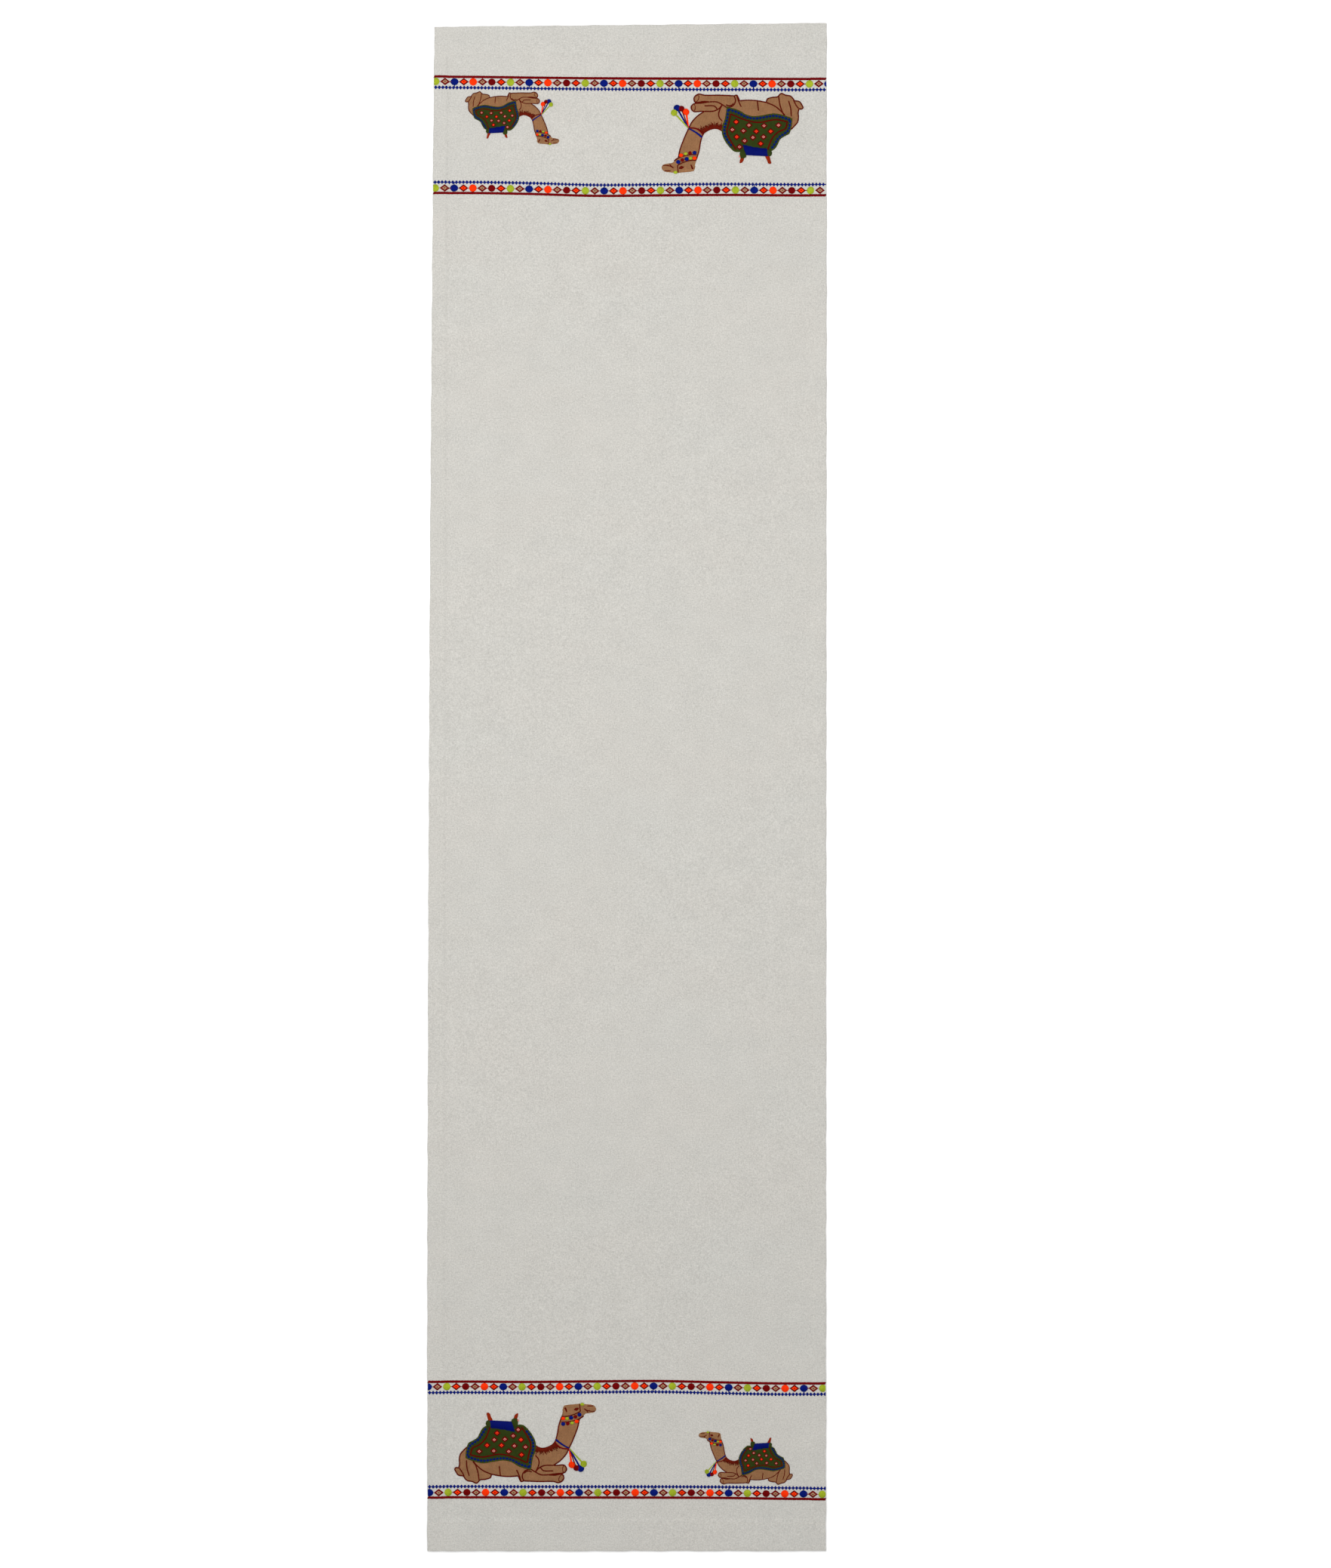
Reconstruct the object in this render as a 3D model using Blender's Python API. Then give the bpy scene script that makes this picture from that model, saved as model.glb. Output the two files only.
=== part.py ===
"""Embroidered cotton table runner, lying flat.

The cloth is one woven panel. Its four edges are folded under as double hems and sewn down. Each end
carries two borders (a line, a row of dots and diamonds, and a chain) with two resting camels between
them. The far end is the near end turned half round, so both ends share their meshes.

X runs across the runner, Y along it and Z up. The origin is at the middle of the underside.
"""

import math

import bmesh
import bpy
from mathutils import Vector
from mathutils.geometry import delaunay_2d_cdt

MM = 0.001

# The sewn runner and its hems.
WIDTH = 355.6 * MM
LENGTH = 1371.6 * MM
CLOTH = 0.5 * MM
SIDE_HEM = 12.0 * MM
END_HEM = 26.5 * MM
FOLD_GAP = 0.1 * MM
HEM_RISE = 2 * CLOTH + 2 * FOLD_GAP
HEM_SLOPE = 4.0 * MM
SEAM_INSET = 1.2 * MM
SEAM_WIDTH = 0.5 * MM

# Embroidery is laid in layers of thread, with a sliver of air between one layer and the next. The
# seams are sewn last, so they pass over the borders.
THREAD = 0.25 * MM
THREAD_GAP = 0.05 * MM
BODY_LAYER = 0
SEAM_LAYER = 1
OUTLINE_LAYER = 1
BLANKET_LAYER = 2
TRIM_LAYER = 3
SADDLE_LAYER = 4
PAD_LAYER = 5

# The borders: how far each dot row is from the end of the cloth, and its neighbours from it.
OUTER_ROW = 52.9 * MM
INNER_ROW = 147.2 * MM
ROW_TO_LINE = 4.75 * MM
ROW_TO_CHAIN = 5.4 * MM
LINE_WIDTH = 1.9 * MM
CHAIN_WIDTH = 1.6 * MM
DOT_PITCH = 16.72 * MM
DOT_RADIUS = 3.3 * MM
DOT_SIDES = 8
DIAMOND_LENGTH = 9.2 * MM
DIAMOND_HEIGHT = 6.8 * MM
ROW_THREAD = 0.7 * MM
FIRST_DOT = 0.3 * MM
EDGE_CLEAR = 0.2 * MM

# Where the lower corner of each camel sits, from the nearer side edge and from the end edge.
LARGE_FROM_SIDE = 21.9 * MM
LARGE_FROM_END = 60.9 * MM
SMALL_FROM_SIDE = 29.5 * MM
SMALL_FROM_END = 59.8 * MM
SMALL_SCALE = 0.665

# Curves are read at this many points to a span, then thinned to this accuracy.
CURVE_STEPS = 8
CURVE_TOLERANCE = 0.25 * MM

# The large camel, in millimetres from its lower left corner. A list of runs is a line with a corner
# wherever one run ends and the next begins, and a smooth curve everywhere else.
TAIL = [(4, 13.5), (1.5, 14), (0, 12.5), (1.5, 9.5), (3.5, 7), (8, 6.5)]
HAUNCH = [(8, 6.5), (11.5, 2.5), (16, 1.5), (20, 0), (22.5, 2)]
HIND_FOOT = [(22.5, 2), (23.5, 3), (28, 3.5), (32.5, 5), (33.5, 8)]
BELLY = [(33.5, 8), (41.5, 6.5), (49.5, 6), (57.5, 6.5)]
KNEE = [(57.5, 6.5), (59, 3), (60, 1.5), (62.5, 2)]
LOWER_LEG = [
    (62.5, 2), (76, 1.5), (89, 1.5), (94, 0.5), (97.5, 2.5), (98.5, 5), (97, 8), (94.5, 8), (90, 7.2),
    (84.5, 7.5),
]
UPPER_LEG = [(84.5, 7.5), (91.5, 8.5), (99, 9.5), (101, 12.5), (99, 16), (92.5, 16), (89, 16)]
THROAT = [(89, 16), (95, 20), (100.5, 26), (103, 31), (107.5, 41), (111, 50.5), (112.5, 58)]
JAW = [
    (112.5, 58), (115.5, 59.5), (119.5, 62.5), (123, 63), (126.5, 64), (127.5, 66), (125, 69.5), (120.5, 70),
    (118.5, 70.5),
]
CROWN = [(118.5, 70.5), (113.5, 71.5), (105.5, 70.5), (99, 69.5)]
NAPE = [
    (99, 69.5), (98.5, 67), (97, 63), (96.5, 59.5), (94, 52), (92.5, 43.5), (90, 36.5), (85.5, 33), (80, 31),
    (73, 34),
]
UNDER_BLANKET = [(73, 34), (69.5, 41), (64, 48), (46, 50), (32, 48), (25.5, 41.5), (16.5, 35.5), (11.5, 32.5)]
RUMP = [(11.5, 32.5), (8.3, 29.3), (5.5, 25.8), (4.6, 21.5), (4.8, 17), (4, 13.5)]
OUTLINE_RUNS = [RUMP, TAIL, HAUNCH, HIND_FOOT, BELLY, KNEE, LOWER_LEG, UPPER_LEG, THROAT]
BODY_RUNS = OUTLINE_RUNS + [JAW, CROWN, NAPE, UNDER_BLANKET]

HAUNCH_FRONT = [(18.5, 18), (21, 11), (22.5, 2)]
THIGH = [(18, 18), (25.5, 11.5), (33.5, 8)]
FOREARM_TOP = [(89, 16), (81, 15.8), (76, 13.5), (73, 10)]
FOREARM_UNDER = [(84.5, 7.5), (78, 7.6), (73, 10), (69, 12.5)]
NAPE_LINE = [(96.5, 59.5), (94, 52), (92.5, 43.5), (90, 36.5), (86.5, 33.7)]
OUTLINE_WIDTH = 1.0

BLANKET_REAR = [
    (29.5, 52), (25.5, 49.2), (22.8, 44.5), (21, 41), (16.5, 38), (13, 36), (11, 32), (9.8, 27.5), (10, 22.5),
]
BLANKET_HEM = [(10, 22.5), (14.5, 20.5), (26, 18), (35, 19.5), (44.5, 20.5), (51.5, 19), (58.5, 15), (69, 12)]
BLANKET_FRONT = [
    (69, 12), (70.5, 22.5), (73, 29.5), (73, 36.5), (70.5, 42.5), (66, 48.5), (62, 52), (58.5, 52.5),
]
INNER_REAR = [(32.5, 50), (28, 40), (22.5, 34.5), (16.5, 31.5), (14.7, 25.6)]
INNER_HEM = [(14.7, 25.6), (25, 23.5), (41, 26), (53, 23.5), (65.3, 18.6)]
INNER_FRONT = [(65.3, 18.6), (67, 26), (68.8, 34.5), (66, 41.5), (60.5, 50.5)]
TRIM_INSET = 1.2
BLANKET_DIAMONDS = [
    (38.5, 45), (60, 39), (29.5, 34), (42.5, 34), (60.5, 25.5), (53, 42.5), (57.5, 48),
    (36, 39), (45.5, 39.5), (54, 33.5), (64, 32.5), (22.5, 28.5), (35.5, 29), (49, 28.5),
]
BLANKET_DIAMOND_LENGTH = 5.4
BLANKET_DIAMOND_HEIGHT = 5.0

PAD = [(32, 56.5), (33, 49.5), (43.5, 48.5), (54.5, 46), (51.5, 55.5)]
REAR_HORN = [(29, 63), (30.8, 55), (34.2, 55), (31.5, 63)]
FRONT_HORN = [(53.3, 55.5), (56.2, 55.5), (57.3, 62), (54.8, 62)]
BULBS = [(31, 54), (54.5, 54.8)]
BULB_RADIUS = 2.7
SADDLE_RUN_WIDTH = 2.0

MANE_TOP = [(92.5, 37.5), (90, 35.5), (85.5, 32.7), (80, 31), (74.5, 32.8)]
MANE_HAIR = 5.8
MANE_HAIRS = 9
MANE_NOTCH = 0.55

STRAP = [(91.5, 39.5), (97, 36), (102.5, 31)]
LOWER_STRAP = [(90, 36), (95, 32), (102.5, 31)]
STRAP_WIDTH = 1.4
TASSELS = [(105.5, 16), (109.5, 13.5), (114, 13), (116.5, 17)]
TASSEL_RADIUS = 2.8
TASSEL_CORD = 1.3

CHEEK = [(113.5, 71.5), (113.5, 63.5), (114.8, 61)]
NOSE_LINE = [(96.8, 60), (106.5, 61.3), (114.8, 61)]
THROAT_LINE = [(97, 55.2), (104, 55.6), (110, 57.6), (114.8, 61)]
HALTER_WIDTH = 0.9
HALTER_BEADS = [
    (98.5, 59), (101.5, 59.2), (105.5, 59.9), (109, 60.3), (112.3, 61.6),
    (98.3, 53.8), (102, 54), (106, 54.8), (109.8, 56.3), (114.6, 71),
]
BEAD_RADIUS = 1.6
SMALL_SIDES = 6


def clear_scene():
    for obj in list(bpy.data.objects):
        bpy.data.objects.remove(obj, do_unlink=True)


# Flat shapes, as lists of points.


def smooth(points):
    """Points along a centripetal Catmull-Rom curve through the given ones."""
    points = [Vector(p) for p in points]
    ends = [2 * points[0] - points[1]] + points + [2 * points[-1] - points[-2]]
    curve = [points[0]]
    for a, b, c, d in zip(ends, ends[1:], ends[2:], ends[3:]):
        t1 = math.sqrt((b - a).length)
        t2 = t1 + math.sqrt((c - b).length)
        t3 = t2 + math.sqrt((d - c).length)
        for step in range(1, CURVE_STEPS + 1):
            t = t1 + (t2 - t1) * step / CURVE_STEPS
            ab = a.lerp(b, t / t1)
            bc = b.lerp(c, (t - t1) / (t2 - t1))
            cd = c.lerp(d, (t - t2) / (t3 - t2))
            abc = ab.lerp(bc, t / t2)
            bcd = bc.lerp(cd, (t - t1) / (t3 - t1))
            curve.append(abc.lerp(bcd, (t - t1) / (t2 - t1)))
    return curve


def thinned(points, tolerance):
    """The fewest of these points that keep the line within the tolerance."""
    if len(points) < 3:
        return points
    start, end = points[0], points[-1]
    along = (end - start).normalized()
    off = [abs(along.cross(p - start)) for p in points]
    if (end - start).length < tolerance:
        off = [(p - start).length for p in points]
    worst = max(range(len(points)), key=off.__getitem__)
    if off[worst] < tolerance:
        return [start, end]
    return thinned(points[: worst + 1], tolerance) + thinned(points[worst:], tolerance)[1:]


def line_through(runs, scale):
    """The runs as one line, smooth within each run and cornered between them."""
    line = []
    for run in runs:
        curve = thinned(smooth([Vector(p) * scale for p in run]), CURVE_TOLERANCE)
        line += curve[1:] if line else curve
    return line


def sideways(points, distance):
    """The line moved to its left by a distance, with mitred corners."""
    moved = []
    for i, point in enumerate(points):
        before = (point - points[i - 1]).normalized() if i else None
        after = (points[i + 1] - point).normalized() if i + 1 < len(points) else None
        before = before or after
        after = after or before
        middle = (before + after).normalized()
        stretch = max(middle.dot(after), 0.5)
        moved.append(point + distance / stretch * Vector((-middle.y, middle.x)))
    return moved


def stroke(points, width):
    """A line of even width, as one four-sided outline for each of its stretches."""
    left = sideways(points, width / 2)
    right = sideways(points, -width / 2)
    return [[right[i], right[i + 1], left[i + 1], left[i]] for i in range(len(points) - 1)]


def disc(centre, radius, sides):
    turn = 2 * math.pi / sides
    return [
        Vector(centre) + radius * Vector((math.cos(turn * (i + 0.5)), math.sin(turn * (i + 0.5))))
        for i in range(sides)
    ]


def diamond(centre, length, height):
    centre = Vector(centre)
    return [
        centre + Vector((length / 2, 0)),
        centre + Vector((0, height / 2)),
        centre - Vector((length / 2, 0)),
        centre - Vector((0, height / 2)),
    ]


def rectangle(low, high):
    return [Vector(low), Vector((high[0], low[1])), Vector(high), Vector((low[0], high[1]))]


def counterclockwise(outline):
    area = sum(a.cross(b) for a, b in zip(outline, outline[1:] + outline[:1]))
    return outline if area > 0 else outline[::-1]


# Solids.


def flat_sheet(outlines):
    """A flat mesh that covers all the outlines, which may overlap."""
    outlines = [counterclockwise(outline) for outline in outlines]
    corners = [corner for outline in outlines for corner in outline]
    faces = []
    start = 0
    for outline in outlines:
        faces.append(list(range(start, start + len(outline))))
        start += len(outline)
    inside_only = 1
    points, _, triangles, _, _, sources = delaunay_2d_cdt(corners, [], faces, inside_only, 1e-7)
    bm = bmesh.new()
    verts = [bm.verts.new((*point, 0)) for point in points]
    for triangle, source in zip(triangles, sources):
        if source:
            bm.faces.new([verts[i] for i in triangle])
    loose = [v for v in bm.verts if not v.link_faces]
    bmesh.ops.delete(bm, geom=loose, context="VERTS")
    return bm


def thicken(bm, faces, height):
    raised = bmesh.ops.extrude_face_region(bm, geom=faces)["geom"]
    verts = [v for v in raised if isinstance(v, bmesh.types.BMVert)]
    bmesh.ops.translate(bm, verts=verts, vec=(0, 0, height))
    return [f for f in raised if isinstance(f, bmesh.types.BMFace)]


def finish_mesh(name, bm):
    bmesh.ops.recalc_face_normals(bm, faces=bm.faces[:])
    mesh = bpy.data.meshes.new(name)
    bm.to_mesh(mesh)
    bm.free()
    return mesh


def slab(name, outlines, height=THREAD):
    """One flat solid that covers all the outlines."""
    bm = flat_sheet(outlines)
    thicken(bm, bm.faces[:], height)
    return finish_mesh(name, bm)


def hem_rise(x, y):
    """How far the panel is lifted at a point by the hems folded under it."""
    past_side = abs(x) - (WIDTH / 2 - SIDE_HEM - HEM_SLOPE)
    past_end = abs(y) - (LENGTH / 2 - END_HEM - HEM_SLOPE)
    share = max(past_side, past_end, 0) / HEM_SLOPE
    return HEM_RISE * min(share, 1)


def border_slab(name, outlines, distance):
    """A border piece at a distance from the end of the cloth, bent up over the two side hems."""
    bm = flat_sheet(outlines)
    bends = [WIDTH / 2 - SIDE_HEM, WIDTH / 2 - SIDE_HEM - HEM_SLOPE]
    for side in (-1, 1):
        for bend in bends:
            geom = bm.verts[:] + bm.edges[:] + bm.faces[:]
            bmesh.ops.bisect_plane(bm, geom=geom, plane_co=(side * bend, 0, 0), plane_no=(1, 0, 0))
        geom = bm.verts[:] + bm.edges[:] + bm.faces[:]
        edge = side * (WIDTH / 2 - EDGE_CLEAR)
        bmesh.ops.bisect_plane(
            bm, geom=geom, plane_co=(edge, 0, 0), plane_no=(side, 0, 0), clear_outer=True
        )
    thicken(bm, bm.faces[:], THREAD)
    for v in bm.verts:
        v.co.z += hem_rise(v.co.x, LENGTH / 2 - distance)
    return finish_mesh(name, bm)


# Objects.


def principled(name, color, roughness):
    material = bpy.data.materials.new(name)
    material.use_nodes = True
    shader = material.node_tree.nodes["Principled BSDF"]
    shader.inputs["Base Color"].default_value = (*color, 1)
    shader.inputs["Roughness"].default_value = roughness
    shader.inputs["Metallic"].default_value = 0.0
    return material


def add_object(name, mesh, material, parent=None, location=(0, 0, 0)):
    obj = bpy.data.objects.new(name, mesh)
    bpy.context.scene.collection.objects.link(obj)
    if not mesh.materials:
        mesh.materials.append(material)
    obj.parent = parent
    obj.location = location
    return obj


def add_empty(name, location=(0, 0, 0), turn=0.0):
    empty = bpy.data.objects.new(name, None)
    bpy.context.scene.collection.objects.link(empty)
    empty.location = location
    empty.rotation_euler = (0, 0, turn)
    return empty


def layer_height(layer):
    return THREAD_GAP + layer * (THREAD + THREAD_GAP)


# The cloth, its hems and their seams.


def panel_mesh():
    """The panel, dished so that its middle lies on the table and its edges on the hems."""
    xs = [WIDTH / 2 - SIDE_HEM - HEM_SLOPE, WIDTH / 2 - SIDE_HEM, WIDTH / 2]
    ys = [LENGTH / 2 - END_HEM - HEM_SLOPE, LENGTH / 2 - END_HEM, LENGTH / 2]
    xs = [-x for x in reversed(xs)] + xs
    ys = [-y for y in reversed(ys)] + ys
    bm = bmesh.new()
    grid = [[bm.verts.new((x, y, hem_rise(x, y))) for x in xs] for y in ys]
    for low, high in zip(grid, grid[1:]):
        for i in range(len(xs) - 1):
            bm.faces.new((low[i], low[i + 1], high[i + 1], high[i]))
    bmesh.ops.triangulate(bm, faces=bm.faces[:], quad_method="SHORT_EDGE")
    thicken(bm, bm.faces[:], CLOTH)
    return finish_mesh("cloth_panel", bm)


def hem_mesh(name, depth, length):
    """A strip turned back on itself: a U on its side, extruded along the edge it finishes."""
    radius = CLOTH + FOLD_GAP / 2
    fold_steps = 4
    profile = [(0, 0)]
    for step in range(fold_steps + 1):
        angle = math.pi * (step / fold_steps - 0.5)
        profile.append((depth - radius + radius * math.cos(angle), radius + radius * math.sin(angle)))
    profile.append((0, 2 * radius))
    profile.append((0, CLOTH + FOLD_GAP))
    profile.append((depth - radius, CLOTH + FOLD_GAP))
    profile.append((depth - radius, CLOTH))
    profile.append((0, CLOTH))
    bm = bmesh.new()
    face = bm.faces.new([bm.verts.new((u, -length / 2, z)) for u, z in profile])
    moved = bmesh.ops.extrude_face_region(bm, geom=[face])["geom"]
    verts = [v for v in moved if isinstance(v, bmesh.types.BMVert)]
    bmesh.ops.translate(bm, verts=verts, vec=(0, length, 0))
    return finish_mesh(name, bm)


def seam_mesh(name, length):
    low = (-SEAM_WIDTH / 2, -length / 2)
    high = (SEAM_WIDTH / 2, length / 2)
    return slab(name, [rectangle(low, high)])


def build_cloth(cotton, sewing_thread):
    add_object("cloth_panel", panel_mesh(), cotton)
    fold_clear = 2 * FOLD_GAP
    side_length = LENGTH - 2 * END_HEM - 2 * fold_clear
    side_hem = hem_mesh("side_hem", SIDE_HEM, side_length)
    end_hem = hem_mesh("end_hem", END_HEM, WIDTH)
    side_seam = seam_mesh("side_seam", side_length)
    end_seam = seam_mesh("end_seam", WIDTH - 2 * EDGE_CLEAR)
    seam_height = HEM_RISE + CLOTH + layer_height(SEAM_LAYER)
    half_turn = math.pi
    edges = [
        ("side_{}_left", side_hem, side_seam, SIDE_HEM, (-WIDTH / 2, 0, 0), 0),
        ("side_{}_right", side_hem, side_seam, SIDE_HEM, (WIDTH / 2, 0, 0), half_turn),
        ("end_{}_near", end_hem, end_seam, END_HEM, (0, -LENGTH / 2, 0), half_turn / 2),
        ("end_{}_far", end_hem, end_seam, END_HEM, (0, LENGTH / 2, 0), -half_turn / 2),
    ]
    for name, hem, seam, depth, place, turn in edges:
        edge = add_empty(name.format("edge"), place, turn)
        add_object(name.format("hem"), hem, cotton, edge)
        add_object(
            name.format("seam"), seam, sewing_thread, edge, (depth - SEAM_INSET, 0, seam_height)
        )


# The borders.


def strip(width):
    return [rectangle((-WIDTH / 2, -width / 2), (WIDTH / 2, width / 2))]


def dot_row():
    """Dots and diamonds in turn along the thread that runs between them."""
    outlines = strip(ROW_THREAD)
    dot_count = math.ceil(WIDTH / DOT_PITCH)
    for i in range(dot_count):
        x = -WIDTH / 2 + FIRST_DOT + i * DOT_PITCH
        outlines.append(disc((x, 0), DOT_RADIUS, DOT_SIDES))
        outlines.append(diamond((x + DOT_PITCH / 2, 0), DIAMOND_LENGTH, DIAMOND_HEIGHT))
    return outlines


def build_borders(ends, line_thread, dot_thread, chain_thread):
    borders = [("outer", OUTER_ROW, 1), ("inner", INNER_ROW, -1)]
    for border, distance, towards_camels in borders:
        pieces = [
            ("line", strip(LINE_WIDTH), -towards_camels * ROW_TO_LINE, line_thread),
            ("dots", dot_row(), 0, dot_thread),
            ("chain", strip(CHAIN_WIDTH), towards_camels * ROW_TO_CHAIN, chain_thread),
        ]
        for piece, outlines, offset, thread in pieces:
            mesh = border_slab(f"{border}_{piece}", outlines, distance)
            place = (0, distance + offset, CLOTH + layer_height(BODY_LAYER))
            for end, empty in ends.items():
                add_object(f"{end}_{border}_{piece}", mesh, thread, empty, place)


# The camels.


def camel_shapes(scale):
    """Each piece of a camel: its name, its outlines in metres, its layer and its thread."""

    def points(pairs):
        return [Vector(p) * scale for p in pairs]

    body = line_through(BODY_RUNS, scale)[:-1]
    outline = []
    for runs in (OUTLINE_RUNS, [HAUNCH_FRONT], [THIGH], [FOREARM_TOP], [FOREARM_UNDER]):
        outline += stroke(line_through(runs, scale), OUTLINE_WIDTH * scale)
    blanket_edge = line_through([BLANKET_REAR, BLANKET_HEM, BLANKET_FRONT], scale)
    inner_edge = line_through([INNER_REAR, INNER_HEM, INNER_FRONT], scale)
    trim = sideways(blanket_edge, TRIM_INSET * scale) + inner_edge[::-1]
    saddle = [points(REAR_HORN), points(FRONT_HORN)]
    saddle += [disc(p, BULB_RADIUS * scale, DOT_SIDES) for p in points(BULBS)]
    saddle += stroke(points(BULBS), SADDLE_RUN_WIDTH * scale)
    knot = Vector(STRAP[-1]) * scale
    collar = stroke(line_through([STRAP], scale), STRAP_WIDTH * scale)
    collar += stroke(line_through([LOWER_STRAP], scale), STRAP_WIDTH * scale)
    collar.append(disc(knot, STRAP_WIDTH * scale, SMALL_SIDES))
    for end in points(TASSELS):
        collar += stroke([knot, end], TASSEL_CORD * scale)
        collar.append(disc(end, TASSEL_RADIUS * scale, DOT_SIDES))
    halter = []
    for run in (CHEEK, NOSE_LINE, THROAT_LINE):
        halter += stroke(line_through([run], scale), HALTER_WIDTH * scale)
    halter += [disc(p, BEAD_RADIUS * scale, SMALL_SIDES) for p in points(HALTER_BEADS)]
    return [
        ("body", [body], BODY_LAYER, "tan"),
        ("outline", outline, OUTLINE_LAYER, "rust"),
        ("mane", mane_outlines(scale), OUTLINE_LAYER, "mane"),
        ("blanket", [blanket_edge], BLANKET_LAYER, "green"),
        ("blanket_trim", [trim], TRIM_LAYER, "blue"),
        ("saddle_horns", saddle, SADDLE_LAYER, "horn"),
        ("saddle_pad", [points(PAD)], PAD_LAYER, "royal"),
        ("collar", collar, BLANKET_LAYER, "blue"),
        ("halter", halter, BLANKET_LAYER, "rust"),
    ]


def mane_outlines(scale):
    """Hairs that hang from the top of the neck, side by side, with the line up its back."""
    crest = smooth([Vector(p) * scale for p in MANE_TOP])
    stations = [crest[round(i * (len(crest) - 1) / (2 * MANE_HAIRS))] for i in range(2 * MANE_HAIRS + 1)]
    roots = sideways(stations, MANE_HAIR * MANE_NOTCH * scale)
    tips = sideways(stations, MANE_HAIR * scale)
    fringe = [tips[i] if i % 2 else roots[i] for i in range(len(stations))]
    fringe_outlines = [
        [stations[i], fringe[i], fringe[i + 1], stations[i + 1]] for i in range(len(stations) - 1)
    ]
    return fringe_outlines + stroke(line_through([NAPE_LINE], scale), OUTLINE_WIDTH * scale)


def blanket_mesh(name, outlines, scale):
    """The blanket with its woven diamonds standing proud of it."""
    diamonds = [
        diamond(Vector(p) * scale, BLANKET_DIAMOND_LENGTH * scale, BLANKET_DIAMOND_HEIGHT * scale)
        for p in BLANKET_DIAMONDS
    ]
    half = Vector((BLANKET_DIAMOND_LENGTH, BLANKET_DIAMOND_HEIGHT)) * scale / 2
    bm = flat_sheet(outlines + diamonds)
    top = thicken(bm, bm.faces[:], THREAD)
    raised = []
    for face in top:
        middle = face.calc_center_median().xy
        for p in BLANKET_DIAMONDS:
            off = middle - Vector(p) * scale
            if abs(off.x) / half.x + abs(off.y) / half.y < 1:
                raised.append(face)
    thicken(bm, raised, THREAD)
    bmesh.ops.delete(bm, geom=raised, context="FACES_ONLY")
    return finish_mesh(name, bm)


def build_camel(size, ends, threads, scale, corner, mirrored):
    for piece, outlines, layer, thread in camel_shapes(scale * MM):
        if piece == "blanket":
            mesh = blanket_mesh(f"{size}_{piece}", outlines, scale * MM)
        else:
            mesh = slab(f"{size}_{piece}", outlines)
        if mirrored:
            for v in mesh.vertices:
                v.co.x = -v.co.x
            mesh.flip_normals()
        place = (*corner, CLOTH + layer_height(layer))
        for end, empty in ends.items():
            add_object(f"{end}_{size}_camel_{piece}", mesh, threads[thread], empty, place)


def main():
    clear_scene()
    cotton = principled("cotton", (0.65, 0.64, 0.6), 0.9)
    sewing_thread = principled("sewing_thread", (0.6, 0.59, 0.55), 0.7)
    threads = {
        "tan": principled("tan_thread", (0.35, 0.2, 0.11), 0.6),
        "rust": principled("rust_thread", (0.19, 0.02, 0.01), 0.5),
        "mane": principled("mane_thread", (0.22, 0.03, 0.01), 0.5),
        "horn": principled("horn_thread", (0.3, 0.03, 0.01), 0.5),
        "green": principled("green_thread", (0.05, 0.09, 0.02), 0.6),
        "blue": principled("blue_thread", (0.01, 0.04, 0.26), 0.5),
        "royal": principled("royal_thread", (0.01, 0.02, 0.3), 0.5),
        "red": principled("red_thread", (0.22, 0.005, 0.01), 0.5),
        "maroon": principled("maroon_thread", (0.1, 0.003, 0.005), 0.5),
    }
    build_cloth(cotton, sewing_thread)
    ends = {
        "near": add_empty("near_end", (0, -LENGTH / 2, 0)),
        "far": add_empty("far_end", (0, LENGTH / 2, 0), math.pi),
    }
    build_borders(ends, threads["red"], threads["maroon"], threads["blue"])
    large_corner = (-WIDTH / 2 + LARGE_FROM_SIDE, LARGE_FROM_END)
    small_corner = (WIDTH / 2 - SMALL_FROM_SIDE, SMALL_FROM_END)
    build_camel("large", ends, threads, 1.0, large_corner, mirrored=False)
    build_camel("small", ends, threads, SMALL_SCALE, small_corner, mirrored=True)


main()
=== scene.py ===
# Embroidered cotton table runner: how it looks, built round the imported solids.
#
# The cloth and its hems are thin woven sheets. The embroidery is sewn stitch by stitch: every stitch is a
# small closed strand of thread that lies on the cloth. Each piece holds the stitches of one thread colour.
# Plan places and stitch sizes are in millimetres until a mesh is made, which is in metres.

import math

import bpy
import numpy as np
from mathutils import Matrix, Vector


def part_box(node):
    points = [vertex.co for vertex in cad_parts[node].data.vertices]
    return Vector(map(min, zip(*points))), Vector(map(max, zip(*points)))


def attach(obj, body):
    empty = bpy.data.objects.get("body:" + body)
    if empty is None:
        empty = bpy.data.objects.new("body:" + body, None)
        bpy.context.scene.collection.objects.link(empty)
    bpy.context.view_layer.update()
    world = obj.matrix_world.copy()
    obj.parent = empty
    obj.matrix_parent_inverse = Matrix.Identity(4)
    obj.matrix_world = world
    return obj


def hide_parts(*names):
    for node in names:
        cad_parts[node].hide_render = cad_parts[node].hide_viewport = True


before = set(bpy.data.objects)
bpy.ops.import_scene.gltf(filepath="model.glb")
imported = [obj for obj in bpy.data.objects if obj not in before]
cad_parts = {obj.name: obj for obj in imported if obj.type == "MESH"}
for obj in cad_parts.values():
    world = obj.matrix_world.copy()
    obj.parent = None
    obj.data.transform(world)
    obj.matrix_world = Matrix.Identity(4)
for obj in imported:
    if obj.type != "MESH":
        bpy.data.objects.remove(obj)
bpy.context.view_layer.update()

MM = 0.001

# ---------------------------------------------------------------- the cloth's measures, from the frame


def plan_box(node):
    """A CAD node's lowest and highest corners in millimetres."""
    low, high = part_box(node)
    return np.array(low) / MM, np.array(high) / MM


def row_place(node):
    """How far up the runner the middle of a CAD node lies, in millimetres."""
    low, high = plan_box(node)
    return float(low[1] + high[1]) / 2


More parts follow.
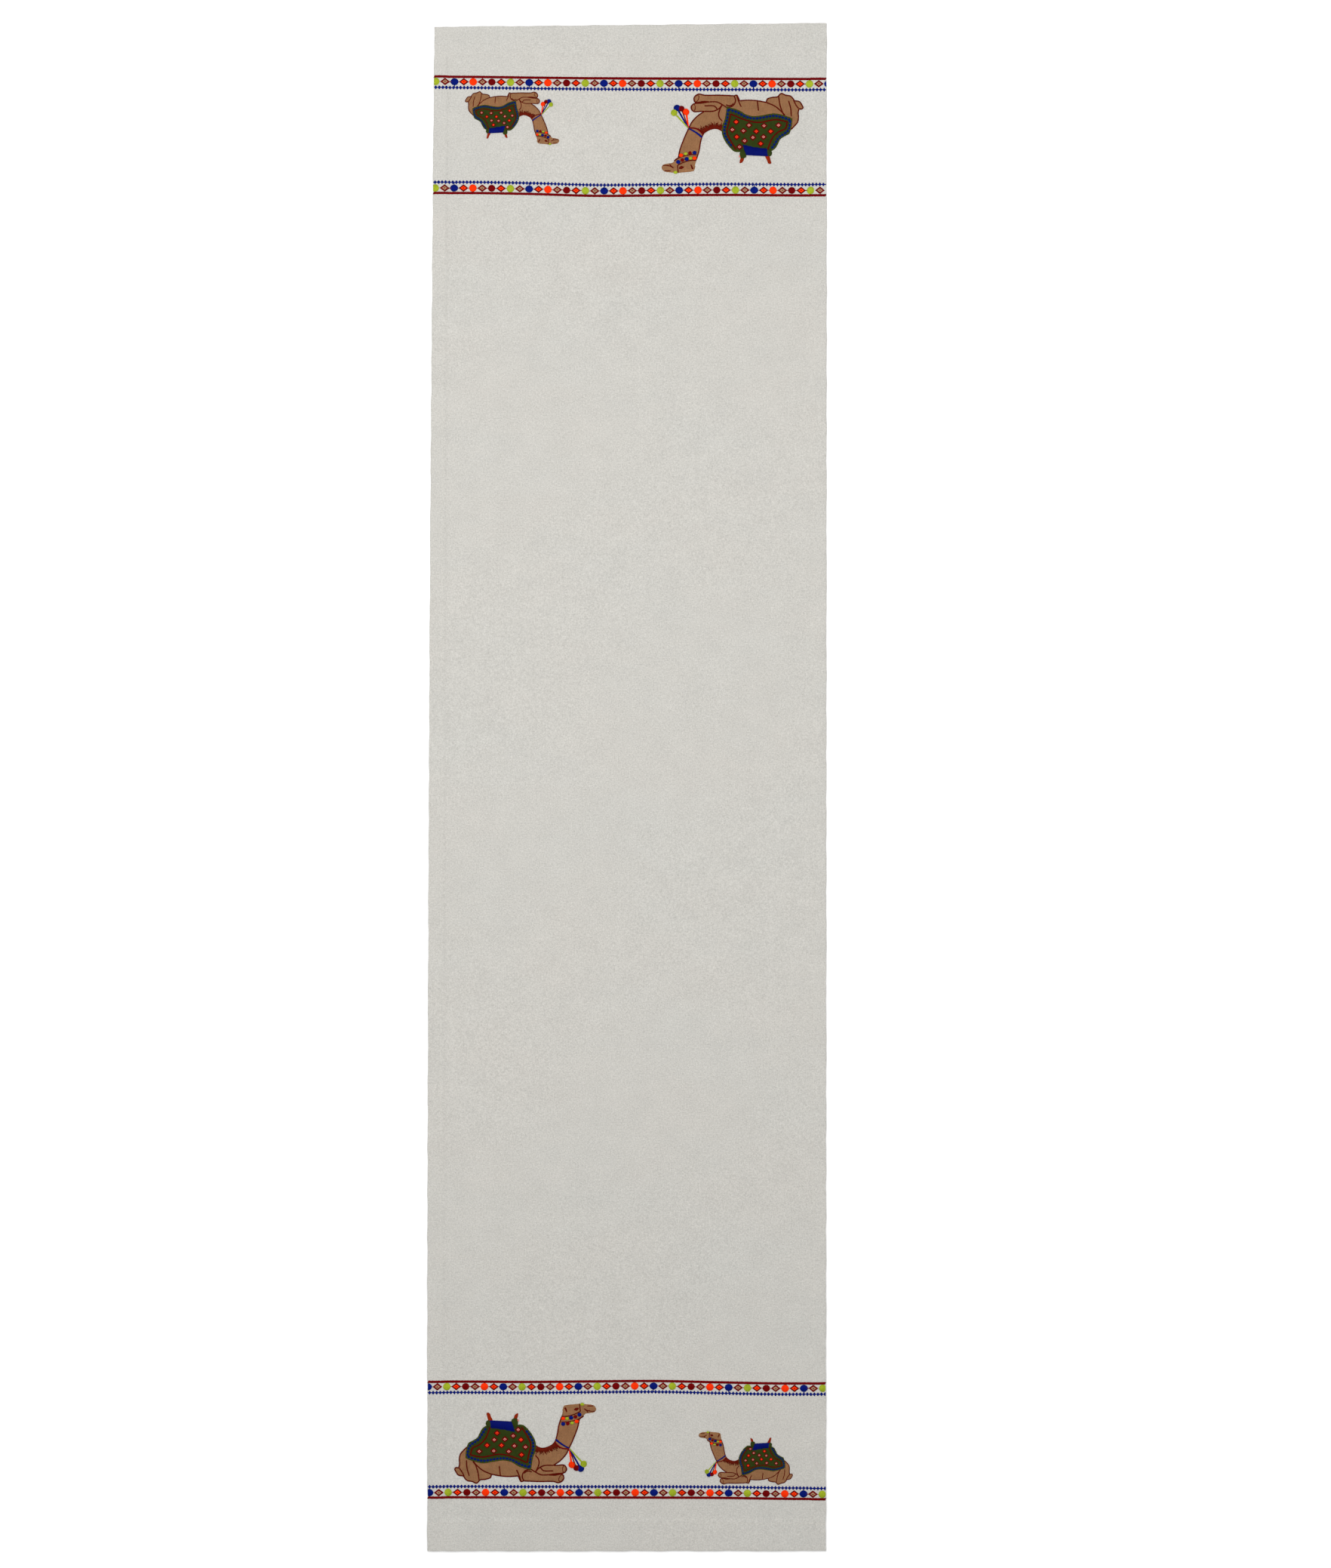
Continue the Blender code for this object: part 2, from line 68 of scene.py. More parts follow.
PANEL_LOW, PANEL_HIGH = plan_box("cloth_panel")
HALF_WIDTH, HALF_LENGTH = float(PANEL_HIGH[0]), float(PANEL_HIGH[1])
SIDE_HEM = float(plan_box("side_hem_left")[1][0] - plan_box("side_hem_left")[0][0])
END_HEM = float(plan_box("end_hem_near")[1][1] - plan_box("end_hem_near")[0][1])
CLOTH = 0.5
HEM_RISE = float(PANEL_HIGH[2]) - CLOTH
HEM_SLOPE = 4.0
RIM = (CLOTH + HEM_RISE) / 2
SIDE_SEAM = HALF_WIDTH - abs(float(sum(plan_box("side_seam_left"))[0]) / 2)
END_SEAM = HALF_LENGTH - abs(row_place("end_seam_near"))

RIPPLE = 0.22
SEAM_DENT = 0.12
SEAM_DENT_WIDTH = 0.9
HEM_PUFF = 0.12


def smoothstep(share):
    """Rises from 0 to 1 with no corner at either end."""
    share = np.clip(share, 0, 1)
    return share * share * (3 - 2 * share)


def edge_drift(x, y):
    """How far a point of the laid cloth is from its place on a true rectangle."""
    across, along = x / HALF_WIDTH, y / HALF_LENGTH
    left = -0.8 + 3.2 * along + 1.8 * along**2
    right = 0.5 + 0.33 * along
    at_side = smoothstep((np.abs(across) - 0.84) / 0.16)
    far = -0.7 + 1.7 * across
    near = 0.3 + 0 * across
    at_end = smoothstep((np.abs(along) - 0.945) / 0.055)
    fray = 0.18 * np.sin(y * 0.11 + 3 * np.sin(y * 0.017)) + 0.12 * np.sin(y * 0.31 + x)
    fray_end = 0.18 * np.sin(x * 0.13 + 2 * np.sin(x * 0.021)) + 0.1 * np.sin(x * 0.37)
    return (
        at_side * (np.where(across < 0, left, right) + fray),
        at_end * (np.where(along > 0, far, near) + fray_end),
    )


def side_edge(side, y):
    """Where the laid cloth's left (-1) or right (1) edge is, beside a place along it."""
    x = side * HALF_WIDTH + 0 * np.asarray(y, float)
    return x + edge_drift(x, np.asarray(y, float))[0]


def ripple(x, y):
    """The slight unevenness of cloth that was folded away and smoothed out again."""
    broad = np.sin(x * 0.020 + 1.2 * np.sin(y * 0.0057)) * np.sin(y * 0.0113 + 0.4)
    slant = np.sin(x * 0.013 - y * 0.0187 + 2.0)
    fine = 0.35 * np.sin(x * 0.047 + 0.8 * np.sin(y * 0.013)) * np.sin(y * 0.031 + 1.0)
    return RIPPLE * (2.35 + broad + slant + fine)


def hem_share(x, y):
    """0 on the single cloth and 1 on a hem, with a slope between."""
    past_side = np.abs(x) - (HALF_WIDTH - SIDE_HEM - HEM_SLOPE)
    past_end = np.abs(y) - (HALF_LENGTH - END_HEM - HEM_SLOPE)
    return smoothstep(np.maximum(past_side, past_end) / HEM_SLOPE)


def seam_dip(x, y):
    """How far the stitches of the hems pull the cloth down beside them."""
    from_side = np.abs(np.abs(x) - (HALF_WIDTH - SIDE_SEAM))
    from_end = np.abs(np.abs(y) - (HALF_LENGTH - END_SEAM))
    dip = np.exp(-((np.minimum(from_side, from_end) / SEAM_DENT_WIDTH) ** 2))
    return SEAM_DENT * dip * (0.75 + 0.25 * np.sin((x + y) * 2.2))


def cloth_top(x, y):
    """The height of the cloth's upper side, before it turns down at its folded edges."""
    share = hem_share(x, y)
    edge = np.minimum(HALF_WIDTH - np.abs(x), HALF_LENGTH - np.abs(y))
    puff = HEM_PUFF * np.sin(np.clip(edge / SIDE_SEAM, 0, 1) * math.pi)
    return CLOTH + HEM_RISE * share + ripple(x, y) - seam_dip(x, y) + puff * share


def unlaid(x, y):
    """The place on a true rectangle of a point of the laid cloth."""
    flat_x, flat_y = x, y
    for _ in range(5):
        drift = edge_drift(flat_x, flat_y)
        flat_x, flat_y = x - drift[0], y - drift[1]
    return flat_x, flat_y


# ---------------------------------------------------------------- materials


def new_material(name, roughness):
    """A material with one Principled shader."""
    material = bpy.data.materials.new(name)
    material.use_nodes = True
    material.node_tree.nodes["Principled BSDF"].inputs["Roughness"].default_value = roughness
    return material


def add(material, kind, inputs=(), **settings):
    """Adds a node. Its inputs are given by name or place, as values or as other nodes' outputs."""
    tree = material.node_tree
    node = tree.nodes.new(kind)
    for key, value in settings.items():
        setattr(node, key, value)
    for key, value in dict(inputs).items():
        if isinstance(value, bpy.types.NodeSocket):
            tree.links.new(value, node.inputs[key])
        else:
            node.inputs[key].default_value = value
    return node


def maths(material, operation, *values):
    """The output of a maths node. For MULTIPLY_ADD it is the first value x the second + the third."""
    return add(material, "ShaderNodeMath", enumerate(values), operation=operation).outputs[0]


def noise(material, vector, scale, detail=2.0, roughness=0.5):
    """Smooth noise, 0 to 1. A scale of 1000 makes features of about 1 mm."""
    inputs = {"Vector": vector, "Scale": scale, "Detail": detail, "Roughness": roughness}
    return add(material, "ShaderNodeTexNoise", inputs).outputs["Fac"]


def stretched(material, vector, scale):
    """A place scaled by a different amount along each axis."""
    return add(material, "ShaderNodeMapping", {"Vector": vector, "Scale": scale}).outputs[0]


def tinted(material, color, share):
    """A colour made lighter or darker by a share around 1, linked to the shader."""
    spread = add(material, "ShaderNodeCombineXYZ", {"X": share, "Y": share, "Z": share}).outputs[0]
    mixed = add(material, "ShaderNodeVectorMath", {0: color, 1: spread}, operation="MULTIPLY").outputs[0]
    shader = material.node_tree.nodes["Principled BSDF"]
    material.node_tree.links.new(mixed, shader.inputs["Base Color"])
    return shader


def add_bump(material, height, distance, strength=1.0):
    """Tilts the surface by a height that is multiplied by a distance in metres."""
    inputs = {"Height": height, "Distance": distance, "Strength": strength}
    bump = add(material, "ShaderNodeBump", inputs)
    shader = material.node_tree.nodes["Principled BSDF"]
    material.node_tree.links.new(bump.outputs["Normal"], shader.inputs["Normal"])


YARN = 0.64 * MM
YARN_WANDER = 0.9 * MM
COTTON_RELIEF = 0.09 * MM
COTTON_WARM = (0.497, 0.474, 0.436)
COTTON_COOL = (0.473, 0.472, 0.444)

# How much each detail lightens the cotton, added to its darkest share.
COTTON_DARKEST = 0.36
SLUB_TONE = 0.15
FUZZ_TONE = 0.78
CLOUD_TONE = 0.14
# The weave's share is painted shade: the hollows between the yarns darker and the yarns' crowns lighter.
WEAVE_HOLLOW_SHADE = 0.03
FLECK_TONE = -0.35

# The same for thread: from stitch to stitch, from fibre to fibre and over patches of a few millimetres.
THREAD_DARKEST = 0.52
STITCH_TONE = 0.16
FIBRE_TONE = 0.30
PATCH_TONE = 0.5
FIBRE_RELIEF = 0.05 * MM


def plain_weave(material, place):
    """The height of a plain weave, 0 to 1: each yarn goes over one crossing yarn and under the next."""
    axes = add(material, "ShaderNodeSeparateXYZ", {0: place}).outputs
    waves = [maths(material, "SINE", maths(material, "MULTIPLY", axes[i], math.pi / YARN)) for i in (0, 1)]
    yarns = []
    for own, other, side in ((waves[0], waves[1], 0.8), (waves[1], waves[0], -0.8)):
        over = maths(material, "MULTIPLY", maths(material, "SIGN", own), other)
        lift = add(material, "ShaderNodeClamp", {0: maths(material, "MULTIPLY_ADD", over, side, 0.55)})
        round_yarn = maths(material, "POWER", maths(material, "ABSOLUTE", own), 0.6)
        yarns.append(maths(material, "MULTIPLY", round_yarn, lift.outputs[0]))
    return maths(material, "MAXIMUM", *yarns)


def cotton_material():
    """Plain weave of slubby cotton yarn, unbleached, with a few seed flecks."""
    material = new_material("cotton_weave", 0.92)
    place = add(material, "ShaderNodeTexCoord").outputs["Object"]

    # The yarns wander a little from straight lines.
    wander = add(material, "ShaderNodeTexNoise", {"Vector": place, "Scale": 260.0, "Detail": 2.0})
    reach = {0: wander.outputs["Color"], "Scale": YARN_WANDER}
    wander = add(material, "ShaderNodeVectorMath", reach, operation="SCALE").outputs[0]
    wavy = add(material, "ShaderNodeVectorMath", {0: place, 1: wander}, operation="ADD").outputs[0]
    weave = plain_weave(material, wavy)

    # Thick and thin stretches of yarn, fuzz, wider clouds and seed flecks.
    weft_yarn = noise(material, stretched(material, place, (300, 900, 1)), 1.0, 1.0, 0.6)
    warp_yarn = noise(material, stretched(material, place, (900, 240, 1)), 1.0, 1.0, 0.6)
    slub = maths(material, "ADD", weft_yarn, warp_yarn)
    fuzz = noise(material, place, 800.0, 2.5, 0.75)
    cloud = noise(material, place, 42.0, 4.0, 0.65)
    speck = add(material, "ShaderNodeTexVoronoi", {"Vector": place, "Scale": 38.0, "Randomness": 1.0})
    chosen = add(material, "ShaderNodeSeparateColor", {0: speck.outputs["Color"]}).outputs[0]
    size = maths(material, "MULTIPLY", maths(material, "GREATER_THAN", chosen, 0.8), 0.016)
    fleck = maths(material, "LESS_THAN", speck.outputs["Distance"], size)
    share = maths(material, "MULTIPLY_ADD", slub, SLUB_TONE, COTTON_DARKEST)
    share = maths(material, "MULTIPLY_ADD", fuzz, FUZZ_TONE, share)
    share = maths(material, "MULTIPLY_ADD", cloud, CLOUD_TONE, share)
    # Painted shade of the weave: lighter on the yarns' crowns and darker in the hollows between them, by
    # the weave's height.
    share = maths(material, "MULTIPLY_ADD", weave, WEAVE_HOLLOW_SHADE, share)
    share = maths(material, "MULTIPLY_ADD", fleck, FLECK_TONE, share)

    # The colour changes slowly between a warmer and a cooler white.
    hue = noise(material, stretched(material, place, (5.0, 9.0, 1)), 1.0, 9.0, 0.72)
    hue = add(material, "ShaderNodeMapRange", {"Value": hue, "From Min": 0.1, "From Max": 0.9}).outputs[0]
    color = add(material, "ShaderNodeMix", data_type="RGBA")
    color.inputs[6].default_value = (*COTTON_WARM, 1)
    color.inputs[7].default_value = (*COTTON_COOL, 1)
    material.node_tree.links.new(hue, color.inputs["Factor"])
    shader = tinted(material, color.outputs[2], share)
    shader.inputs["Sheen Weight"].default_value = 0.08
    shader.inputs["Sheen Roughness"].default_value = 0.6
    shader.inputs["Specular IOR Level"].default_value = 0.15
    height = maths(material, "MULTIPLY_ADD", slub, 1.2, weave)
    height = maths(material, "MULTIPLY_ADD", fuzz, 1.8, height)
    add_bump(material, height, COTTON_RELIEF)
    return material


def thread_material(name, color, roughness=0.55, gloss=0.05):
    """Twisted embroidery thread. Each stitch has its own tone, and fine fibres run along it."""
    material = new_material(name, roughness)
    strand = add(material, "ShaderNodeUVMap", uv_map="strand").outputs[0]
    tone = add(material, "ShaderNodeAttribute", attribute_name="tone").outputs["Fac"]
    place = add(material, "ShaderNodeTexCoord").outputs["Object"]
    fibre = noise(material, stretched(material, strand, (0.7, 7.0, 1.0)), 1.0, 2.0, 0.6)
    patch = noise(material, place, 190.0, 3.0, 0.7)
    share = maths(material, "MULTIPLY_ADD", tone, STITCH_TONE, THREAD_DARKEST)
    share = maths(material, "MULTIPLY_ADD", fibre, FIBRE_TONE, share)
    share = maths(material, "MULTIPLY_ADD", patch, PATCH_TONE, share)
    shader = tinted(material, color, share)
    shader.inputs["Specular IOR Level"].default_value = gloss
    add_bump(material, fibre, FIBRE_RELIEF, 0.6)
    return material


def srgb(red, green, blue):
    """A colour of 0 to 255 levels as the shader's linear values."""
    levels = (value / 255 for value in (red, green, blue))
    return tuple(v / 12.92 if v <= 0.04045 else ((v + 0.055) / 1.055) ** 2.4 for v in levels)


# Thread colours in levels of 0 to 255.
COLORS = {
    "red": (114, 1, 5),
    "maroon": (112, 0, 2),
    "claret": (95, 2, 0),
    "orange": (243, 56, 2),
    "lime": (160, 174, 42),
    "navy": (2, 23, 114),
    "beige": (164, 132, 102),
    "tan": (146, 106, 73),
    "rust": (92, 13, 0),
    "mane": (98, 20, 3),
    "horn": (140, 38, 6),
    "green": (48, 60, 18),
    "olive": (62, 72, 18),
    "blue": (2, 28, 100),
    "royal": (2, 14, 97),
    "pink": (210, 132, 122),
    "flame": (232, 54, 22),
    "sewing": (199, 197, 189),
}
COTTON_WEAVE = cotton_material()
THREADS = {name: thread_material(f"{name}_thread", srgb(*levels)) for name, levels in COLORS.items()}

# ---------------------------------------------------------------- meshes


def mesh_from(name, points, corners, sizes):
    """A mesh in metres from points in millimetres, and faces as one run of corners with their sizes."""
    mesh = bpy.data.meshes.new(name)
    mesh.vertices.add(len(points))
    mesh.vertices.foreach_set("co", np.asarray(points, np.float32).ravel() * np.float32(MM))
    mesh.loops.add(len(corners))
    mesh.loops.foreach_set("vertex_index", np.asarray(corners, np.int32))
    mesh.polygons.add(len(sizes))
    starts = np.concatenate([[0], np.cumsum(sizes)[:-1]])
    mesh.polygons.foreach_set("loop_start", starts.astype(np.int32))
    mesh.update(calc_edges=True)
    mesh.shade_smooth()
    return mesh


def show(name, mesh, material, nodes):
    """Adds a piece that rides on the runner and stands for CAD nodes."""
    obj = bpy.data.objects.new(name, mesh)
    bpy.context.scene.collection.objects.link(obj)
    mesh.materials.append(material)
    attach(obj, "root")
    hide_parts(*nodes)
    return obj


# ---------------------------------------------------------------- cloth and hems


def grid_lines(half, hem, seam):
    """Places of the grid's lines from the middle to one edge, closer together at the hem."""
    edge = [RIM, 2.4, 4.5, 7.0]
    if hem > 20:
        edge += [10.5, 14.5, 18.5, 22.0]
    edge += [seam - 1.4, seam - 0.5, seam + 0.5, hem + 0.8, hem + 1.8, hem + 2.8, hem + HEM_SLOPE]
    start = half - hem - HEM_SLOPE
    count = round(start / 4.2)
    middle = [start * i / count for i in range(count)]
    return middle + [half - e for e in sorted(edge, reverse=True)]


def both_ways(lines):
    """Places from the middle outwards, made to run from one edge to the other."""
    return np.array([-v for v in reversed(lines[1:])] + lines)


def make_cloth():
    """The panel: one thin sheet that turns down round its folded edges to the table."""
    xs = both_ways(grid_lines(HALF_WIDTH, SIDE_HEM, SIDE_SEAM))
    ys = both_ways(grid_lines(HALF_LENGTH, END_HEM, END_SEAM))
    columns, rows = len(xs), len(ys)
    x, y = np.meshgrid(xs, ys)
    x, y = x.ravel(), y.ravel()
    index = np.arange(columns * rows).reshape(rows, columns)
    quads = [index[:-1, :-1], index[:-1, 1:], index[1:, 1:], index[1:, :-1]]
    faces = [np.stack([q.ravel() for q in quads], axis=1)]

    # From the outline of the grid, half a roll down to the table.
    rim = np.concatenate([index[0, :-1], index[:-1, -1], index[-1, :0:-1], index[:0:-1, 0]])
    out_x = np.sign(x[rim]) * (np.abs(x[rim]) > HALF_WIDTH - RIM - 0.01)
    out_y = np.sign(y[rim]) * (np.abs(y[rim]) > HALF_LENGTH - RIM - 0.01)
    rings = [rim]
    count = columns * rows
    layers = [np.stack([x, y, cloth_top(x, y)], axis=1)]
    steps = 6
    for step in range(1, steps + 1):
        angle = math.pi * step / steps
        reach = RIM * math.sin(angle)
        drop = RIM * (1 - math.cos(angle))
        ring_x, ring_y = x[rim] + out_x * reach, y[rim] + out_y * reach
        layers.append(np.stack([ring_x, ring_y, layers[0][rim, 2] - drop], axis=1))
        rings.append(np.arange(count, count + len(rim)))
        count += len(rim)
    for upper, lower in zip(rings, rings[1:]):
        faces.append(np.stack([upper, lower, np.roll(lower, -1), np.roll(upper, -1)], axis=1))

    points = np.concatenate(layers)
    drift = edge_drift(points[:, 0], points[:, 1])
    points[:, 0] += drift[0]
    points[:, 1] += drift[1]
    faces = np.concatenate(faces)
    mesh = mesh_from("cloth", points, faces.ravel(), np.full(len(faces), 4))
    cloth = show("cloth", mesh, COTTON_WEAVE, ["cloth_panel"])
    solidify = cloth.modifiers.new("thickness", "SOLIDIFY")
    solidify.thickness = CLOTH * MM
    solidify.offset = -1
    solidify.use_even_offset = True
    return cloth


def hem_profile(depth):
    """The section of a hem's two tucked-in layers: how far in from the edge, and how high."""
    outer = CLOTH + 0.05
    inner = 0.05
    turn = np.linspace(-math.pi / 2, math.pi / 2, 9)
    fold = [(depth - outer + outer * math.cos(a), outer + outer * math.sin(a)) for a in turn]
    back = [(depth - outer + inner * math.cos(a), outer + inner * math.sin(a)) for a in turn[::-2]]
    start = RIM + 0.1
    between = np.linspace(start, depth - outer, 5)[:-1]
    bottom = [(u, 0.0) for u in between]
    top = [(u, 2 * outer) for u in between[::-1]]
    inside_top = [(u, outer + inner) for u in between]
    inside_bottom = [(u, outer - inner) for u in between[::-1]]
    return np.array(bottom + fold + top + inside_top + back + inside_bottom)


def make_hem(name, node, depth, half, axis, side):
    """A hem's tucked-in layers, swept along one edge of the cloth."""
    profile = hem_profile(depth)
    stations = np.linspace(-half, half, round(2 * half / 6))
    u, z = profile[:, 0], profile[:, 1]
    points = []
    for station in stations:
        edge = side * ((HALF_WIDTH if axis == 0 else HALF_LENGTH) - u)
        x, y = (edge, 0 * u + station) if axis == 0 else (0 * u + station, edge)
        drift = edge_drift(x, y)
        points.append(np.stack([x + drift[0], y + drift[1], z + ripple(x, y)], axis=1))
    n = len(profile)
    faces, sizes = [], []
    for i in range(len(stations) - 1):
        for j in range(n):
            k = (j + 1) % n
            faces += [i * n + j, i * n + k, (i + 1) * n + k, (i + 1) * n + j]
            sizes.append(4)
    last = (len(stations) - 1) * n
    faces += list(range(n - 1, -1, -1)) + list(range(last, last + n))
    sizes += [n, n]
    flip = (side if axis == 0 else -side) > 0
    mesh = mesh_from(name, np.concatenate(points), faces, np.array(sizes))
    if flip:
        mesh.flip_normals()
    return show(name, mesh, COTTON_WEAVE, [node])


# ---------------------------------------------------------------- stitches
#
# A run of stitches is an array with one row for each: its two ends in plan, how high its foot and its
# crown lie above the cloth, and its width.

FILL_PITCH = 0.42
FILL_LENGTH = 3.6
FILL_STAGGER = 0.29
FILL_OVERLAP = 0.34
UNDERLAY_PITCH = 0.85
UNDERLAY_LENGTH = 5.0
UNDERLAY_RISE = 0.68
SATIN_PITCH = 0.34
THREAD_WIDTH = 0.58
SATIN_WIDTH = 0.72
SHOULDER = 0.17
SHORTEST = 0.35
UNEVEN = 0.045
SUNK = 0.06


def sewn(start, end, foot, crown, width=THREAD_WIDTH):
    """A run of stitches from their starts to their ends."""
    start, end = np.asarray(start, float).reshape(-1, 2), np.asarray(end, float).reshape(-1, 2)
    count = len(start)
    sizes = [np.broadcast_to(np.asarray(v, float), count) for v in (foot, crown, width)]
    return np.column_stack([start, end, *sizes])


def smooth(points, steps=8):
    """Points along a centripetal Catmull-Rom curve through the given ones."""
    points = np.asarray(points, float)
    if len(points) == 2:
        return points
    ends = np.vstack([2 * points[0] - points[1], points, 2 * points[-1] - points[-2]])
    curve = [points[0]]
    for a, b, c, d in zip(ends, ends[1:], ends[2:], ends[3:]):
        t1 = math.sqrt(math.dist(a, b))
        t2 = t1 + math.sqrt(math.dist(b, c))
        t3 = t2 + math.sqrt(math.dist(c, d))
        for step in range(1, steps + 1):
            t = t1 + (t2 - t1) * step / steps
            ab = a + (b - a) * t / t1
            bc = b + (c - b) * (t - t1) / (t2 - t1)
            cd = c + (d - c) * (t - t2) / (t3 - t2)
            abc = ab + (bc - ab) * t / t2
            bcd = bc + (cd - bc) * (t - t1) / (t3 - t1)
            curve.append(abc + (bcd - abc) * (t - t1) / (t2 - t1))
    return np.array(curve)


def joined(runs):
    """The runs as one line, smooth within each and cornered between them."""
    return np.vstack([smooth(run)[:-1] for run in runs] + [[runs[-1][-1]]])


def along(line, pitch):
    """Points at an even pitch along a line, its direction at each, and how far along each is."""
    line = np.asarray(line, float)
    steps = np.diff(line, axis=0)
    lengths = np.hypot(steps[:, 0], steps[:, 1])
    steps, lengths = steps[lengths > 1e-9], lengths[lengths > 1e-9]
    reach = np.concatenate([[0], np.cumsum(lengths)])
    count = max(round(reach[-1] / pitch), 1)
    at = (np.arange(count) + 0.5) * reach[-1] / count
    index = np.clip(np.searchsorted(reach, at, side="right") - 1, 0, len(steps) - 1)
    corner = line[0] + np.vstack([[0, 0], np.cumsum(steps, axis=0)])
    share = (at - reach[index]) / lengths[index]
    places = corner[index] + steps[index] * share[:, None]
    return places, steps[index] / lengths[index][:, None], at, reach[-1]


def column(line, width, foot, crown, lean=0.0, pitch=SATIN_PITCH, round_ends=True):
    """Satin stitches side by side across a line. The width is a number, a pair for a column that tapers
    from one end to the other, or a function of the distance along the line."""
    places, ways, at, total = along(line, pitch)
    if callable(width):
        half = width(at) / 2
    else:
        first, last = width if isinstance(width, tuple) else (width, width)
        half = (first + (last - first) * at / total) / 2
    if round_ends:
        from_end = np.minimum(at, total - at)
        short = np.clip(half - from_end, 0, half)
        half = np.maximum(np.sqrt(np.maximum(half**2 - short**2, 0)), 0.3 * half)
    across = np.column_stack([-ways[:, 1], ways[:, 0]]) * half[:, None]
    slant = ways * (lean * half)[:, None]
    return sewn(places - across - slant, places + across + slant, foot, crown)


def linked_diamonds(pitch, widest, narrowest):
    """The width of a chain of diamonds along its line, as a function of the distance along."""

    def width(at):
        share = 1 - np.abs(2 * (at / pitch % 1) - 1)
        return np.maximum(narrowest, widest * (1.08 * share - 0.08))

    return width


def crossings(loop, level):
    """Where a closed outline lies across a level, as pairs of places."""
    a, b = loop, np.roll(loop, -1, axis=0)
    cut = (a[:, 1] <= level) != (b[:, 1] <= level)
    a, b = a[cut], b[cut]
    places = a[:, 0] + (level - a[:, 1]) / (b[:, 1] - a[:, 1]) * (b[:, 0] - a[:, 0])
    return np.sort(places).reshape(-1, 2).tolist()


def without(spans, holes):
    """The parts of some spans that are outside the holes."""
    for low, high in holes:
        kept = []
        for a, b in spans:
            if high <= a or low >= b:
                kept.append((a, b))
                continue
            if a < low:
                kept.append((a, low))
            if high < b:
                kept.append((high, b))
        spans = kept
    return spans


def fill(loop, angle, foot, crown, length=FILL_LENGTH, holes=(), pitch=FILL_PITCH, dome=0.0,
         width=THREAD_WIDTH, inset=0.0):
    """Rows of stitches across a shape, staggered from row to row. Without a length each row is one
    satin stitch. A dome raises the rows that are longest. An inset keeps them clear of the edge."""
    turn = math.radians(angle)
    back = np.array([[math.cos(turn), math.sin(turn)], [-math.sin(turn), math.cos(turn)]])
    shape = np.asarray(loop, float) @ back.T
    cutouts = [np.asarray(hole, float) @ back.T for hole in holes]
    low, high = shape[:, 1].min() + inset, shape[:, 1].max() - inset
    count = max(round((high - low) / pitch), 1)
    starts, ends, longest = [], [], []
    for row in range(count):
        level = low + (row + 0.5) * (high - low) / count
        spans = crossings(shape, level)
        for cutout in cutouts:
            spans = without(spans, crossings(cutout, level))
        for a, b in spans:
            a, b = a + inset, b - inset
            if b - a < SHORTEST:
                continue
            cuts = [a, b]
            if length:
                offset = row * FILL_STAGGER % 1 * length
                first = math.ceil((a + 0.8 - offset) / length) * length + offset
                cuts = [a, *np.arange(first, b - 0.8, length), b]
            for start, end in zip(cuts, cuts[1:]):
                starts.append((max(start - FILL_OVERLAP, a), level))
                ends.append((min(end + FILL_OVERLAP, b), level))
                longest.append(b - a)
    if not starts:
        return np.zeros((0, 7))
    crown = crown + dome * np.sqrt(np.array(longest) / max(longest))
    return sewn(np.array(starts) @ back, np.array(ends) @ back, foot, crown, width)


def underlaid(loop, angle, foot, crown, length=FILL_LENGTH, holes=()):
    """A fill over the coarser layer that is sewn first, crosswise, to lift it and hide the cloth."""
    under = fill(
        loop, angle + 75, foot, foot + UNDERLAY_RISE * (crown - foot), UNDERLAY_LENGTH, holes,
        pitch=UNDERLAY_PITCH, width=1.3 * UNDERLAY_PITCH, inset=UNDERLAY_PITCH / 2,
    )
    return np.vstack([under, fill(loop, angle, foot, crown, length, holes)])


def satin(loop, angle, foot, crown, dome=0.0):
    """A shape filled with satin stitches over a few crosswise ones."""
    lift = (foot + crown) / 2
    under = fill(loop, angle + 90, foot, lift, None, pitch=0.7, dome=dome, width=0.95, inset=0.5)
    over = fill(loop, angle, foot, crown, None, pitch=SATIN_PITCH, dome=dome, width=SATIN_WIDTH)
    return np.vstack([under, over])


def ellipse(centre, across, up, turn=0.0, sides=24):
    """An outline in plan: half its width, half its height and its turn in degrees."""
    a = np.linspace(0, 2 * math.pi, sides, endpoint=False)
    points = np.column_stack([across * np.cos(a), up * np.sin(a)])
    t = math.radians(turn)
    return points @ np.array([[math.cos(t), math.sin(t)], [-math.sin(t), math.cos(t)]]) + centre


def diamond(centre, width, height):
    """An outline in plan: its whole width and height."""
    x, y = centre
    return np.array([(x + width / 2, y), (x, y + height / 2), (x - width / 2, y), (x, y - height / 2)])


